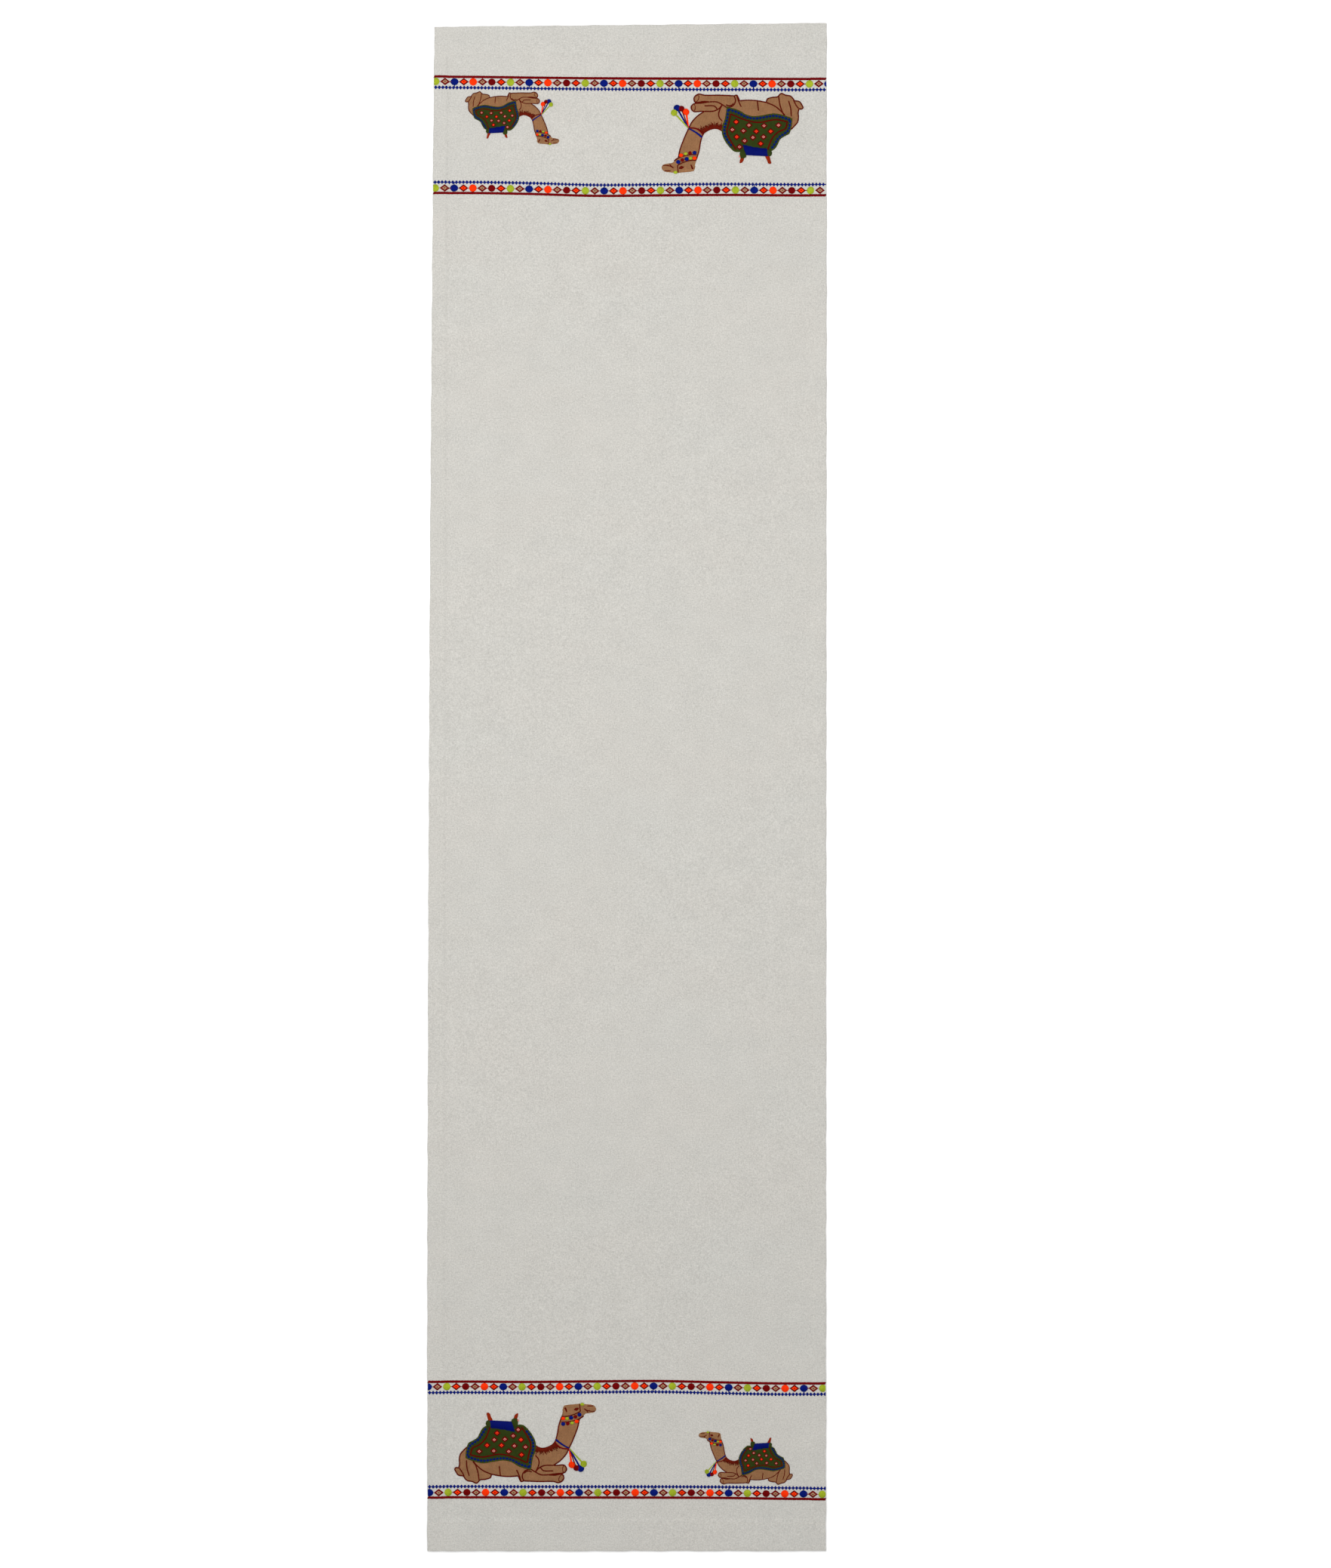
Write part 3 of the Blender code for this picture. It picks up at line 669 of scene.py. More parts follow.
def strand_mesh(name, stitches):
    """One closed domed strand for each stitch: a tip at each end and three rings of three points."""
    rng = np.random.default_rng(sum(name.encode()))
    count = len(stitches)
    start = stitches[:, :2] + rng.normal(0, UNEVEN, (count, 2))
    end = stitches[:, 2:4] + rng.normal(0, UNEVEN, (count, 2))
    foot, crown, width = stitches[:, 4], stitches[:, 5], stitches[:, 6]
    crown = crown + rng.normal(0, 0.02, count)
    width = width * rng.uniform(0.92, 1.08, count)
    way = end - start
    length = np.maximum(np.hypot(way[:, 0], way[:, 1]), 1e-6)
    side = np.column_stack([-way[:, 1], way[:, 0]]) / length[:, None] * (width / 2)[:, None]
    shoulder = np.minimum(SHOULDER / length, 0.22)
    points = np.zeros((count, 11, 3))
    around = np.zeros((count, 11, 2))

    def put(slot, share, offset, height, v):
        """Sets one of the strand's points by its share of the length and its offset to one side."""
        plan = start + way * share[:, None] + side * offset
        points[:, slot, :2] = plan
        points[:, slot, 2] = height
        around[:, slot, 0] = share * length
        around[:, slot, 1] = v

    zero, one = np.zeros(count), np.ones(count)
    put(0, zero, 0, foot, 0.5)
    put(10, one, 0, foot, 0.5)
    rings = [(1, shoulder, 0.78), (4, 0.5 * one, 1.0), (7, one - shoulder, 0.78)]
    for first, share, rise in rings:
        put(first, share, 1, foot, 0.0)
        put(first + 1, share, 0, foot + (crown - foot) * rise, 0.5)
        put(first + 2, share, -1, foot, 1.0)

    # The strands lie on the cloth, and follow it down over its folded edge.
    flat = points.reshape(-1, 3)
    place = unlaid(flat[:, 0], flat[:, 1])
    flat[:, 2] += cloth_top(*place) - SUNK
    past = np.clip(np.abs(place[0]) - (HALF_WIDTH - RIM), 0, RIM)
    flat[:, 2] -= RIM - np.sqrt(RIM**2 - past**2)

    triangles = [(0, 2, 1), (0, 3, 2), (0, 1, 3), (10, 7, 8), (10, 8, 9), (10, 9, 7)]
    quads = []
    for a in (1, 4):
        left, top, right = a, a + 1, a + 2
        quads += [(left, top, top + 3, left + 3), (top, right, right + 3, top + 3)]
        quads += [(right, left, left + 3, right + 3)]
    base = (np.arange(count) * 11)[:, None]
    triangles = (base + np.array(triangles).ravel()).reshape(-1)
    quads = (base + np.array(quads).ravel()).reshape(-1)
    corners = np.concatenate([triangles, quads])
    sizes = np.concatenate([np.full(len(triangles) // 3, 3), np.full(len(quads) // 4, 4)])
    mesh = mesh_from(name, flat, corners, sizes)

    layer = mesh.uv_layers.new(name="strand")
    twist = rng.uniform(0, 50, count)
    around[:, :, 0] += twist[:, None]
    layer.uv.foreach_set("vector", around.reshape(-1, 2)[corners].astype(np.float32).ravel())
    tone = mesh.attributes.new("tone", "FLOAT", "POINT")
    tone.data.foreach_set("value", np.repeat(rng.uniform(0, 1, count), 11).astype(np.float32))
    return mesh


def sew(name, runs, thread, nodes):
    """Makes one piece of the stitches of all the runs."""
    stitches = np.vstack([run for run in runs if len(run)])
    return show(name, strand_mesh(name, stitches), THREADS[thread], nodes)


# ---------------------------------------------------------------- seams

SEAM_STITCH = 2.3
SEAM_GAP = 0.55
SEAM_WIDTH = 0.42
SEAM_CROWN = 0.22
SEAM_TACK = 5.0


def seam_run(start, end):
    """Lockstitches end to end, with a needle hole between each and the next."""
    start, end = np.array(start, float), np.array(end, float)
    total = math.dist(start, end)
    count = round(total / (SEAM_STITCH + SEAM_GAP))
    step = (end - start) / count
    reach = step * SEAM_STITCH / (SEAM_STITCH + SEAM_GAP)
    first = start + step * np.arange(count)[:, None]
    return sewn(first, first + reach, 0.0, SEAM_CROWN, SEAM_WIDTH)


def drifted(run):
    """A run of stitches moved with the edge of the laid cloth."""
    moved = run.copy()
    for a, b in ((0, 1), (2, 3)):
        drift = edge_drift(run[:, a], run[:, b])
        moved[:, a] += drift[0]
        moved[:, b] += drift[1]
    return moved


def make_seams():
    """The seams of the four hems, with a few stitches back over each corner."""
    x, y = HALF_WIDTH - SIDE_SEAM, HALF_LENGTH - END_SEAM
    for name, side in (("left", -1), ("right", 1)):
        runs = [seam_run((side * x, -y), (side * x, y))]
        for end in (-1, 1):
            corner = (side * x, end * y)
            runs.append(seam_run((side * (x + 0.5), end * y), (side * (x + 0.3), end * (y - SEAM_TACK))))
            runs.append(seam_run(corner, (side * (x - 3.5), end * y)))
        run = drifted(np.vstack(runs))
        sew(f"side_seam_{name}_stitches", [run], "sewing", [f"side_seam_{name}"])
    for name, side in (("near", -1), ("far", 1)):
        run = drifted(seam_run((-HALF_WIDTH + 1, side * y), (HALF_WIDTH - 1, side * y)))
        sew(f"end_seam_{name}_stitches", [run], "sewing", [f"end_seam_{name}"])


# ---------------------------------------------------------------- borders

LINE_WIDTH = 2.3
LINE_LEAN = 0.45
EDGE_GAP = 0.35
CHAIN_PITCH = 3.17
CHAIN_HEIGHT = 3.8
CHAIN_THREAD = 1.0
CHAIN_NEARER = 0.42
DOTS_ASIDE = 0.3
DOTS = [("blue", 3.45, 3.25), ("green", 3.2, 3.4), ("maroon", 3.15, 3.15), ("orange", 3.3, 3.4)]
DIAMOND = (8.9, 6.8)
RINGS = {"beige": (4.9, 3.6), "orange": (5.6, 4.0)}
CENTRE = (1.9, 1.3)
LINK = 0.75
STEM = 1.0

# How far each border lies off its straight line as it crosses the runner, at even steps from left to right.
WAVES = {
    ("far", "outer"): [1.1, 0.9, 0.25, -0.3, -0.6, -0.7, -0.95, -1.1],
    ("far", "inner"): [-0.2, 0.4, -0.45, -2.1, -1.7, -1.35, -1.7, -1.9],
    ("near", "inner"): [0.4, 0.4, 0.1, 0.6, 0.95, -0.2, -1.2, -0.6],
    ("near", "outer"): [0.2, 0.3, 0.1, 0.15, 0.1, -0.2, -1.0, -1.3],
}
# Where each row of dots begins, in from its edge, and how far one dot is from the next.
DOT_ROWS = {
    ("far", "outer"): (-1.5, 16.78),
    ("far", "inner"): (-2.6, 16.85),
    ("near", "inner"): (0.45, 16.88),
    ("near", "outer"): (1.75, 16.8),
}


def wave(heights, x):
    """The border's height off its straight line."""
    knots = np.linspace(-1.13, 1.11, len(heights)) * HALF_WIDTH
    curve = smooth(np.column_stack([knots, heights]))
    return np.interp(np.asarray(x, float), curve[:, 0], curve[:, 1])


def line_width(at):
    """The red line swells and thins a little as the thread's pull changes."""
    return LINE_WIDTH + 0.13 * np.sin(1.9 * at) * np.sin(0.47 * at) + 0.06 * np.sin(5.3 * at)


def make_border(end, border):
    """A border: the red line, the row of dots and diamonds, and the blue chain."""
    way = 1 if end == "near" else -1
    row = row_place(f"{end}_{border}_dots")
    waves = WAVES[end, border]
    left = float(side_edge(-1, row)) + EDGE_GAP
    right = float(side_edge(1, row)) - EDGE_GAP
    to_chain = row_place(f"{end}_{border}_chain") - row
    to_chain -= math.copysign(CHAIN_NEARER, to_chain)
    to_line = row_place(f"{end}_{border}_line") - row
    dots_row = row + math.copysign(DOTS_ASIDE, to_line)

    def path(aside):
        """A line that follows the border at a distance from its row of dots."""
        x = np.linspace(left, right, 120)
        return np.column_stack([x, row + aside + wave(waves, x)])

    def inside(run):
        """The stitches of a run that lie on the cloth, unless only a sliver of a shape would be left."""
        keep = (np.minimum(run[:, 0], run[:, 2]) > left) & (np.maximum(run[:, 0], run[:, 2]) < right)
        return run[keep] if keep.all() or keep.sum() > 3 else run[:0]

    line = column(path(to_line), line_width, 0.0, 0.62, LINE_LEAN, 0.32, round_ends=False)
    sew(f"{end}_{border}_line_stitches", [line], "red", [f"{end}_{border}_line"])

    width = linked_diamonds(CHAIN_PITCH, CHAIN_HEIGHT, CHAIN_THREAD)
    runs = [column(path(to_chain), width, 0.0, 0.55, pitch=0.3, round_ends=False)]

    first, pitch = DOT_ROWS[end, border]
    start = float(side_edge(-way, row)) + way * first
    rows = {name: [] for name, _, _ in DOTS}
    rows["beige"] = []
    count = math.ceil((right - left) / pitch) + 1
    for i in range(count):
        x = start + way * i * pitch
        name, wide, high = DOTS[i % 4]
        centre = np.array([x, dots_row + float(wave(waves, x))])
        rows[name].append(satin(ellipse(centre, wide, high), 90, 0.0, 0.35, 0.5))
        if name == "blue":
            stem = np.array([centre + (0, to_chain * 0.5), centre + (0, to_chain)])
            runs.append(inside(column(stem, STEM, 0.0, 0.45)))
        x += way * pitch / 2
        centre = np.array([x, dots_row + float(wave(waves, x))])
        kind = "beige" if i % 2 == 0 else "orange"
        outer, inner, middle = (diamond(centre, *size) for size in (DIAMOND, RINGS[kind], CENTRE))
        rows["maroon"].append(satin(outer, 90, 0.0, 0.55))
        rows[kind].append(satin(inner, 90, 0.3, 0.78))
        rows["maroon"].append(satin(middle, 90, 0.5, 0.98))
        gap = np.array([(x - pitch / 2, centre[1]), (x + pitch / 2, centre[1])])
        rows["maroon"].append(sewn(gap[:1], gap[1:], 0.0, 0.3, LINK))
    sew(f"{end}_{border}_chain_stitches", [inside(r) for r in runs], "navy",
        [f"{end}_{border}_chain"])
    colors = {"blue": "navy", "green": "lime", "maroon": "maroon", "orange": "orange", "beige": "beige"}
    for name, thread in colors.items():
        kind = "rings" if name == "beige" else "dots"
        sew(f"{end}_{border}_{name}_{kind}", [inside(r) for r in rows[name]], thread,
            [f"{end}_{border}_dots"])


# ---------------------------------------------------------------- camels
#
# A camel is drawn in millimetres from its lower rear corner, at the larger camel's size. A list of runs is
# a line that is smooth within each run and has a corner between one run and the next.

MOTIF_LENGTH = 127.5
TAIL = [(4, 13.5), (1.9, 14), (0.5, 12.7), (1.8, 9.8), (3.7, 7.3), (8, 6.5)]
HAUNCH = [(8, 6.5), (11.5, 2.5), (16, 1.5), (20, 0), (22.5, 2)]
HIND_FOOT = [(22.5, 2), (23.5, 3), (28, 3.5), (32.5, 5), (33.5, 8)]
BELLY = [(33.5, 8), (41.5, 6.5), (49.5, 6), (57.5, 6.5)]
KNEE = [(57.5, 6.5), (59, 3), (60, 1.5), (62.5, 2)]
LOWER_LEG = [
    (62.5, 2), (76, 1.5), (89, 1.5), (94, 0.5), (97.5, 2.5), (98.5, 5), (97, 8), (94.5, 8), (90, 7.2),
    (84.5, 7.5),
]
UPPER_LEG = [(84.5, 7.5), (91.5, 8.5), (99, 9.5), (101, 12.5), (99, 16), (92.5, 16), (89, 16)]
THROAT = [(89, 16), (95, 20), (100.5, 26), (103, 31), (107.5, 41), (111, 50.5), (112.5, 58)]
JAW = [
    (112.5, 58), (115.3, 59.8), (118.1, 62.2), (121.9, 62.8), (126.2, 63.9), (127.5, 66.5), (126.5, 68.8),
    (125, 70), (120, 70.9), (118.5, 70.9),
]
CROWN = [(118.5, 70.9), (113.5, 71.4), (106.5, 70.8), (102, 70.4), (98.7, 69.7)]
NAPE = [
    (98.7, 69.7), (97.6, 67.2), (97.2, 63.5), (96.5, 59.5), (94, 52), (92.5, 43.5), (90, 36.5), (85.5, 33),
    (80, 31), (73, 34),
]
UNDER_BLANKET = [
    (73, 34), (69.5, 41), (64, 48), (46, 50), (32, 48), (25.5, 41.5), (16.5, 35.5), (11.5, 32.5),
]
RUMP = [(11.5, 32.5), (8.3, 29.3), (5.5, 25.8), (4.6, 21.5), (4.8, 17), (4, 13.5)]
OUTLINE = [RUMP, TAIL, HAUNCH, HIND_FOOT, BELLY, KNEE, LOWER_LEG, UPPER_LEG, THROAT]
BODY = OUTLINE + [JAW, CROWN, NAPE, UNDER_BLANKET]
FOLDS = [
    [(18.5, 18), (21, 11), (22.5, 2)],
    [(18, 18), (25.5, 11.5), (33.5, 8)],
    [(89, 16), (81, 15.8), (76, 13.5), (73, 10)],
    [(84.5, 7.5), (78, 7.6), (73, 10), (69, 12.5)],
    [(4.5, 13.5), (7, 10), (9, 6)],
    [(11, 20.5), (11.5, 13.5), (13.5, 6.5)],
    [(40.5, 15.5), (41, 11), (41.5, 7)],
    [(56, 12), (58.5, 6.5), (60, 1.5)],
    [(69, 12.3), (66.4, 12.2), (63.5, 11), (61.7, 8.6), (61.2, 5.5), (62.5, 2)],
    [(62.9, 8.8), (64.5, 10.4), (66.9, 10.9), (69.8, 10.2)],
    [(73, 25), (75.7, 21.5), (76.2, 18), (75, 14), (72.9, 10)],
    [(77.5, 14), (80, 11.4), (89, 11)],
]
NAPE_LINE = [
    (96.5, 59.5), (94, 52), (92.5, 43.5), (90.2, 36.7), (86.5, 33.4), (80, 31.3), (76, 32), (73.3, 33.6),
]
HOOVES = [((98.9, 12.6), 1.6, 3.2, 0), ((96.2, 4.6), 1.9, 3.3, -28)]
OUTLINE_WIDTH = 1.26

EYE = [(107.3, 65.9), (108.5, 67.1), (110.3, 67.6), (112, 67.4), (111.3, 66), (109.4, 65.2)]
EAR = [(99.4, 67.9), (100.3, 66.1), (101.2, 63.8)]
MOUTH = [(116.8, 66.9), (118.8, 65.5), (120.6, 65), (123.2, 64.6), (126.3, 64.6)]
LIP_CORNER = [(118.6, 65.4), (119.6, 64.2), (120.4, 62.9)]
NOSE_TOP = [(119.5, 69.4), (122, 69.3), (124.7, 69.4)]
THIGH_TOP = [(16.9, 19.8), (18.2, 18), (19.3, 15.8)]

MANE_TOP = [(91, 36.2), (89, 34.7), (85.5, 32.8), (80, 31.2), (74, 32.9)]
MANE_HAIR = 5.6

BLANKET_REAR = [
    (29.5, 52), (25.5, 49.2), (22.8, 44.5), (21, 41), (16.5, 38), (13, 36), (11.4, 32), (10.5, 27.5),
    (10.2, 22.6),
]
BLANKET_HEM = [
    (10.2, 22.6), (14.5, 20.7), (26, 18), (35, 19.3), (44.5, 20.5), (51.5, 19), (58.5, 15), (68.9, 11.9),
]
BLANKET_FRONT = [
    (68.9, 11.9), (70.5, 22.5), (73, 29.5), (73, 36.5), (70.5, 42.5), (66, 48.5), (62, 52), (58.5, 52.5),
]
BLANKET = [BLANKET_REAR, BLANKET_HEM, BLANKET_FRONT, [(58.5, 52.5), (54, 52.5), (34, 52.5), (29.5, 52)]]
INNER_LINE = [
    [(32.3, 50.3), (28, 40), (22.5, 34.5), (16.5, 31.5), (14.5, 25.4)],
    [(14.5, 25.4), (25, 23.5), (41, 26), (53, 23.5), (65.5, 18.4)],
    [(65.5, 18.4), (67, 26), (68.8, 34.5), (66, 41.5), (60.5, 50.5)],
]
BLANKET_CHAIN = [
    [(28.6, 49.6), (24.9, 43.8), (21.9, 39.4), (17, 36), (13.5, 32.7), (12.1, 28), (11.7, 24)],
    [(11.7, 24), (16.5, 22.1), (26, 20), (35, 21.3), (44.5, 22.3), (52, 20.7), (59.5, 16.9), (67.9, 14)],
    [(67.9, 14), (68.9, 23), (70.9, 29.8), (71, 35.8), (68.7, 41.6), (64.6, 47.6)],
]
CHAIN_SQUARE = 3.15
CHAIN_SQUARE_PITCH = 3.0
EDGING = 1.5
FLAME_DIAMONDS = [(38.5, 45), (60, 39), (29.5, 34), (42.5, 34), (60.5, 25.5)]
PINK_DIAMONDS = [
    (53, 42.5), (57.5, 48), (36, 39), (45.5, 39.5), (54, 33.5), (64, 32.5), (22.5, 28.5), (35.5, 29),
    (49, 28.5),
]
FRAME = (6.6, 6.0)
FRAME_INSIDE = {"pink": (3.4, 2.9), "flame": (3.8, 3.3)}
FRAME_CENTRE = {"pink": (1.5, 1.3), "flame": (1.2, 1.0)}

PAD = [(32, 56.5), (33, 49.5), (43.5, 48.5), (54.5, 46), (51.5, 55.5), (42, 56)]
REAR_HORN = [(29, 63), (29.5, 60), (31.2, 55.5), (34.4, 56.4), (32.5, 60.5), (31.3, 63)]
FRONT_HORN = [(53.3, 56.5), (54, 60.5), (55.6, 62.2), (57.4, 62.4), (57.4, 60.8), (56, 57)]
REAR_KNOT = [(31.3, 56.6), (29, 55.4), (28.3, 53.2), (29.5, 51), (32, 50.4), (33.2, 52), (32.4, 55.5)]
FRONT_KNOT = [
    (52, 57.4), (54.4, 58.4), (56.4, 57.8), (57.2, 55.4), (57, 53), (55.6, 51.2), (53.9, 50.4), (52.8, 52),
    (51.4, 55.4),
]
KNOB = ((57.2, 56.3), 0.8, 1.2, -20)

STRAP = [(91.2, 39.3), (95, 36.2), (98.6, 33.8), (103.2, 31.4)]
LOWER_STRAP = [(90, 37.1), (92.6, 34.2), (95.9, 31.8), (99.3, 31), (102.9, 31)]
KNOT = (103.3, 31.3)
TASSELS = {
    "orange": ((105.5, 16.5), 2.9, (1.4, 2.0)),
    "maroon": ((109.7, 13.6), 2.65, (1.0, 1.4)),
    "blue": ((113.8, 12.9), 2.85, (1.4, 1.9)),
    "green": ((116.3, 17.2), 2.9, (1.2, 1.6)),
}
CHEEK = [(112.6, 71.3), (112.9, 68), (113.3, 64.4)]
NOSE_LINE = [(96.2, 60.1), (100.6, 60), (104.8, 60.8), (109.2, 62.4), (113.3, 64.5)]
THROAT_LINE = [(96.1, 54.9), (100.4, 54.9), (104.4, 55.4), (108.6, 56.4), (112.5, 57.8)]
CHIN_LINE = [(111.4, 57.3), (113.8, 58.6), (116.2, 60.4)]
BEADS = {
    "orange": [((97.9, 58.1), 1.65, 1.65), ((110, 55.5), 1.75, 1.7)],
    "green": [((101.4, 58.1), 1.45, 1.45), ((105.9, 54.1), 1.45, 1.45), ((115, 70.8), 1.75, 1.4)],
    "blue": [((105, 58.8), 1.75, 1.8), ((112.5, 61.5), 1.75, 1.8), ((97.9, 53.2), 1.65, 1.8)],
    "maroon": [((108.9, 59.7), 1.5, 1.65), ((102, 53.5), 1.45, 1.65)],
}


class Motif:
    """The runs of a camel's stitches, by piece, drawn at a scale."""

    def __init__(self, scale):
        self.scale = scale
        self.runs = {}

    def scaled(self, points):
        return np.asarray(points, float) * self.scale

    def loop(self, points):
        """A smooth closed outline."""
        return smooth(self.scaled(points + points[:1]))

    def ellipse(self, centre, across, up, turn=0.0):
        return ellipse(self.scaled(centre), across * self.scale, up * self.scale, turn)

    def diamond(self, centre, width, height):
        return diamond(self.scaled(centre), width * self.scale, height * self.scale)

    def put(self, piece, run):
        self.runs.setdefault(piece, []).append(run)

    def stroke(self, piece, points, width, foot, crown):
        """A satin line. Its width is a number, or a pair for a line that tapers."""
        width = tuple(w * self.scale for w in width) if isinstance(width, tuple) else width * self.scale
        self.put(piece, column(smooth(self.scaled(points)), width, foot, crown))


def sew_body(camel):
    """The tan body, its outline and folds, the hooves and the face."""
    body = joined([camel.scaled(run) for run in BODY])
    blanket = joined([camel.scaled(run) for run in BLANKET])
    middle = blanket.mean(axis=0)
    under = middle + (blanket - middle) * 0.93
    camel.put("body", underlaid(body, 78, 0.0, 0.4, holes=[under]))
    for run in OUTLINE + FOLDS:
        camel.stroke("outline", run, OUTLINE_WIDTH, 0.22, 0.66)
    for hoof in HOOVES:
        ring = camel.ellipse(*hoof)
        line = np.vstack([ring, ring[:1]])
        camel.put("outline", column(line, 0.8 * camel.scale, 0.22, 0.6, round_ends=False))
    camel.put("outline", satin(camel.loop(EYE), 12, 0.25, 0.6))
    camel.stroke("outline", EAR, (2.0, 1.1), 0.25, 0.62)
    camel.stroke("outline", MOUTH, (1.3, 0.85), 0.25, 0.6)
    camel.stroke("outline", LIP_CORNER, (1.0, 0.7), 0.25, 0.6)
    camel.stroke("outline", NOSE_TOP, (0.9, 1.0), 0.25, 0.6)
    camel.stroke("outline", THIGH_TOP, (1.9, 1.0), 0.25, 0.7)


def sew_mane(camel):
    """Three layers of hair, each longer and sparser than the one under it, below the line of the nape."""
    crest = smooth(camel.scaled(MANE_TOP))
    rng = np.random.default_rng(7)
    for reach, pitch, foot in ((0.6, 0.34, 0.25), (0.82, 0.5, 0.33), (1.12, 1.1 * camel.scale, 0.4)):
        roots, ways, _, _ = along(crest, pitch)
        down = np.column_stack([-ways[:, 1], ways[:, 0]])
        length = MANE_HAIR * camel.scale * reach * rng.uniform(0.72, 1.12, len(roots))
        lean = rng.uniform(-0.25, 0.1, len(roots)) * length
        tips = roots + down * length[:, None] + ways * lean[:, None]
        camel.put("mane", sewn(roots - down * 0.35, tips, foot, foot + 0.4, 0.62))
    camel.stroke("mane", NAPE_LINE, OUTLINE_WIDTH, 0.22, 0.66)


def sew_blanket(camel):
    """The green blanket, its edging, the maroon line and blue chain along it, and its framed diamonds."""
    scale = camel.scale
    camel.put("blanket", underlaid(joined([camel.scaled(run) for run in BLANKET]), 70, 0.05, 0.48))
    places, ways, _, _ = along(joined([camel.scaled(run) for run in BLANKET[:3]]), 0.38)
    inward = np.column_stack([-ways[:, 1], ways[:, 0]]) * EDGING * scale
    swing = np.where(np.arange(len(places)) % 2, 0.12, -0.12)[:, None] * ways
    outer, inner = places - inward * 0.15 - swing, places + inward * 0.85 + swing
    camel.put("blanket_edging", sewn(outer, inner, 0.3, 0.72))
    for run in INNER_LINE:
        camel.stroke("blanket_line", run, 1.4, 0.32, 0.76)
    for run in BLANKET_CHAIN:
        line = smooth(camel.scaled(run))
        total = np.hypot(*np.diff(line, axis=0).T).sum()
        pitch = total / round(total / (CHAIN_SQUARE_PITCH * scale))
        width = linked_diamonds(pitch, CHAIN_SQUARE * scale, 0.6 * scale)
        camel.put("blanket_chain", column(line, width, 0.3, 0.8, pitch=0.3, round_ends=False))
    for kind, centres in (("pink", PINK_DIAMONDS), ("flame", FLAME_DIAMONDS)):
        for centre in centres:
            camel.put("blanket_line", satin(camel.diamond(centre, *FRAME), 90, 0.3, 0.78))
            camel.put(f"blanket_{kind}", satin(camel.diamond(centre, *FRAME_INSIDE[kind]), 90, 0.5, 0.95))
            camel.put("blanket_line", satin(camel.diamond(centre, *FRAME_CENTRE[kind]), 90, 0.7, 1.12))


def sew_saddle(camel):
    """The horns, the round knots at their feet and the blue pad. Only the larger camel has a pink knob."""
    camel.put("saddle_horns", satin(camel.loop(REAR_HORN), 20, 0.05, 0.55, 0.2))
    camel.put("saddle_horns", satin(camel.loop(FRONT_HORN), -20, 0.05, 0.55, 0.2))
    camel.put("saddle_knots", satin(camel.loop(REAR_KNOT), 30, 0.4, 0.75, 0.25))
    camel.put("saddle_knots", satin(camel.loop(FRONT_KNOT), 60, 0.4, 0.75, 0.25))
    if camel.scale > 0.9:
        camel.put("saddle_knob", satin(camel.ellipse(*KNOB), 70, 0.3, 0.7))
    camel.put("saddle_pad", satin(camel.scaled(PAD), 88, 0.45, 0.95))


def sew_collar(camel):
    """Two straps and four tassels that hang from their knot."""
    camel.stroke("collar_blue", STRAP, (1.9, 1.35), 0.4, 0.95)
    camel.stroke("collar_maroon", LOWER_STRAP, (1.3, 1.3), 0.5, 1.0)
    knot = camel.scaled(KNOT)
    for order, (name, (end, radius, cord)) in enumerate(TASSELS.items()):
        lift = 0.05 * order
        cord = (cord[0] * camel.scale, cord[1] * camel.scale)
        line = np.array([knot, camel.scaled(end)])
        camel.put(f"collar_{name}", column(line, cord, lift, 0.5 + lift))
        ball = camel.ellipse(end, radius, radius)
        camel.put(f"collar_{name}", satin(ball, 35 + 40 * order, 0.1, 0.6, 0.75))


def sew_halter(camel):
    """The halter's straps and its beads."""
    for line in (CHEEK, NOSE_LINE, THROAT_LINE):
        camel.stroke("halter", line, 1.05, 0.32, 0.74)
    camel.stroke("halter", CHIN_LINE, 1.3, 0.34, 0.78)
    for name, beads in BEADS.items():
        for bead in beads:
            camel.put(f"beads_{name}", satin(camel.ellipse(*bead), 90, 0.4, 0.75, 0.5))


def camel_stitches(scale):
    """Every run of a camel's stitches at a scale, by piece, from the camel's own corner."""
    camel = Motif(scale)
    for sew_part in (sew_body, sew_mane, sew_blanket, sew_saddle, sew_collar, sew_halter):
        sew_part(camel)
    return {piece: np.vstack(rows) for piece, rows in camel.runs.items()}


# Each piece of a camel: its thread, its slot in the record and the CAD piece that it stands for.
CAMEL_PIECES = {
    "body": ("tan", "tan_thread", "body"),
    "outline": ("rust", "rust_thread", "outline"),
    "mane": ("mane", "rust_thread", "mane"),
    "blanket": ("green", "green_thread", "blanket"),
    "blanket_edging": ("olive", "green_thread", "blanket"),
    "blanket_pink": ("pink", "green_thread", "blanket"),
    "blanket_flame": ("flame", "green_thread", "blanket"),
    "blanket_line": ("claret", "trim_threads", "blanket_trim"),
    "blanket_chain": ("blue", "trim_threads", "blanket_trim"),
    "saddle_horns": ("horn", "horn_thread", "saddle_horns"),
    "saddle_knots": ("green", "horn_thread", "saddle_horns"),
    "saddle_knob": ("pink", "horn_thread", "saddle_horns"),
    "saddle_pad": ("royal", "royal_blue_thread", "saddle_pad"),
    "collar_blue": ("navy", "tassel_threads", "collar"),
    "collar_maroon": ("maroon", "tassel_threads", "collar"),
    "collar_orange": ("orange", "tassel_threads", "collar"),
    "collar_green": ("lime", "tassel_threads", "collar"),
    "halter": ("rust", "halter_threads", "halter"),
    "beads_blue": ("navy", "halter_threads", "halter"),
    "beads_maroon": ("maroon", "halter_threads", "halter"),
    "beads_orange": ("orange", "halter_threads", "halter"),
    "beads_green": ("lime", "halter_threads", "halter"),
}

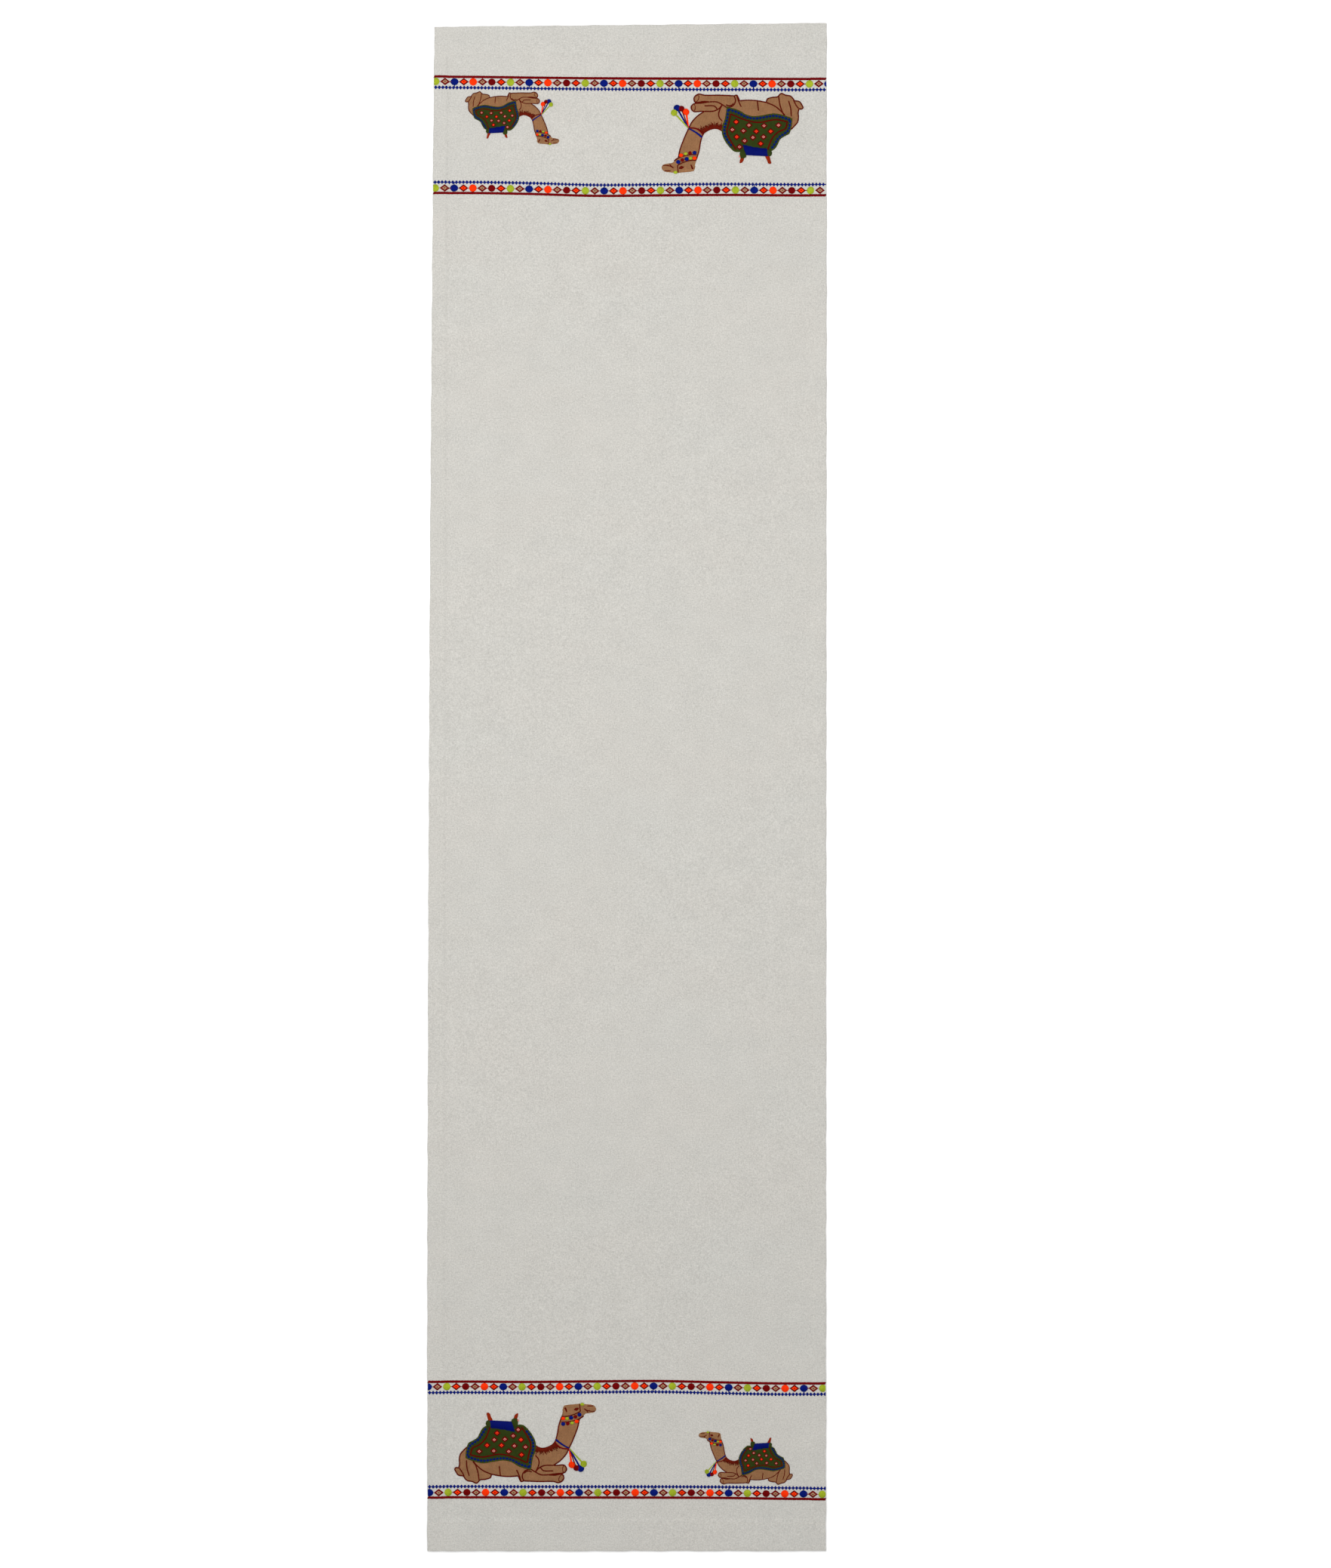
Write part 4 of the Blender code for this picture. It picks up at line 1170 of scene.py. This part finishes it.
# How far each camel lies from its place on a true rectangle.
CAMEL_DRIFT = {
    ("near", "large"): (0.0, 0.3),
    ("near", "small"): (0.0, 0.3),
    ("far", "large"): (2.0, -1.3),
    ("far", "small"): (2.1, -0.8),
}


def make_camels():
    """The four camels. The far pair is the near pair turned half round, and the small ones face back."""
    for size in ("large", "small"):
        low, high = plan_box(f"near_{size}_camel_body")
        scale = float(high[0] - low[0]) / MOTIF_LENGTH
        stitches = camel_stitches(scale)
        for end in ("near", "far"):
            low, high = plan_box(f"{end}_{size}_camel_body")
            up = 1 if end == "near" else -1
            forward = up if size == "large" else -up
            corner = np.array([low[0] if forward > 0 else high[0], low[1] if up > 0 else high[1]])
            corner += CAMEL_DRIFT[end, size]
            for piece, run in stitches.items():
                placed = run.copy()
                placed[:, [0, 2]] = corner[0] + forward * run[:, [0, 2]]
                placed[:, [1, 3]] = corner[1] + up * run[:, [1, 3]]
                thread, slot, node = CAMEL_PIECES[piece]
                name = f"{end}_{size}_camel"
                sew(f"{name}_{piece}_stitches", [placed], thread, [f"{name}_{node}"])


# ---------------------------------------------------------------- the stage

CAMERA_HEIGHT = 3.3266
CAMERA_PLACE = (0.0339, 0.0034)
LENS = 85
FLOOR_WHITE = 0.96
FLOOR_SIZE = 60
FLOOR_DROP = 0.0002
SKY_LIGHT = 0.81
SOFTBOX_PLACE = (-0.2, 0.4, 1.5)
SOFTBOX_SIZE = 1.6
SOFTBOX_POWER = 18.3


def make_stage():
    """The pale floor, the even light of a white room with one softbox, and the camera straight above."""
    bpy.context.scene.view_settings.view_transform = "Standard"
    bpy.ops.mesh.primitive_plane_add(size=FLOOR_SIZE, location=(0, 0, -FLOOR_DROP))
    floor = bpy.context.object
    floor.name = "floor"
    material = new_material("floor_white", 0.9)
    shader = material.node_tree.nodes["Principled BSDF"]
    shader.inputs["Base Color"].default_value = (FLOOR_WHITE, FLOOR_WHITE, FLOOR_WHITE, 1)
    shader.inputs["Specular IOR Level"].default_value = 0.0
    floor.data.materials.append(material)

    world = bpy.data.worlds.new("studio")
    world.use_nodes = True
    background = world.node_tree.nodes["Background"]
    background.inputs["Color"].default_value = (1, 1, 1, 1)
    background.inputs["Strength"].default_value = SKY_LIGHT
    bpy.context.scene.world = world

    light = bpy.data.lights.new("softbox", "AREA")
    light.size = SOFTBOX_SIZE
    light.energy = SOFTBOX_POWER
    lamp = bpy.data.objects.new("softbox", light)
    lamp.location = SOFTBOX_PLACE
    bpy.context.scene.collection.objects.link(lamp)

    view = bpy.data.cameras.new("camera")
    view.lens = LENS
    camera = bpy.data.objects.new("camera", view)
    camera.location = (*CAMERA_PLACE, CAMERA_HEIGHT)
    bpy.context.scene.collection.objects.link(camera)
    bpy.context.scene.camera = camera


# ---------------------------------------------------------------- all of it

make_stage()
cloth = make_cloth()
side_half = HALF_LENGTH - END_HEM - 0.2
hems = [
    make_hem("side_hem_left_fold", "side_hem_left", SIDE_HEM, side_half, 0, -1),
    make_hem("side_hem_right_fold", "side_hem_right", SIDE_HEM, side_half, 0, 1),
    make_hem("end_hem_near_fold", "end_hem_near", END_HEM, HALF_WIDTH - RIM - 0.1, 1, -1),
    make_hem("end_hem_far_fold", "end_hem_far", END_HEM, HALF_WIDTH - RIM - 0.1, 1, 1),
]
make_seams()
for end_name, border_name in WAVES:
    make_border(end_name, border_name)
make_camels()
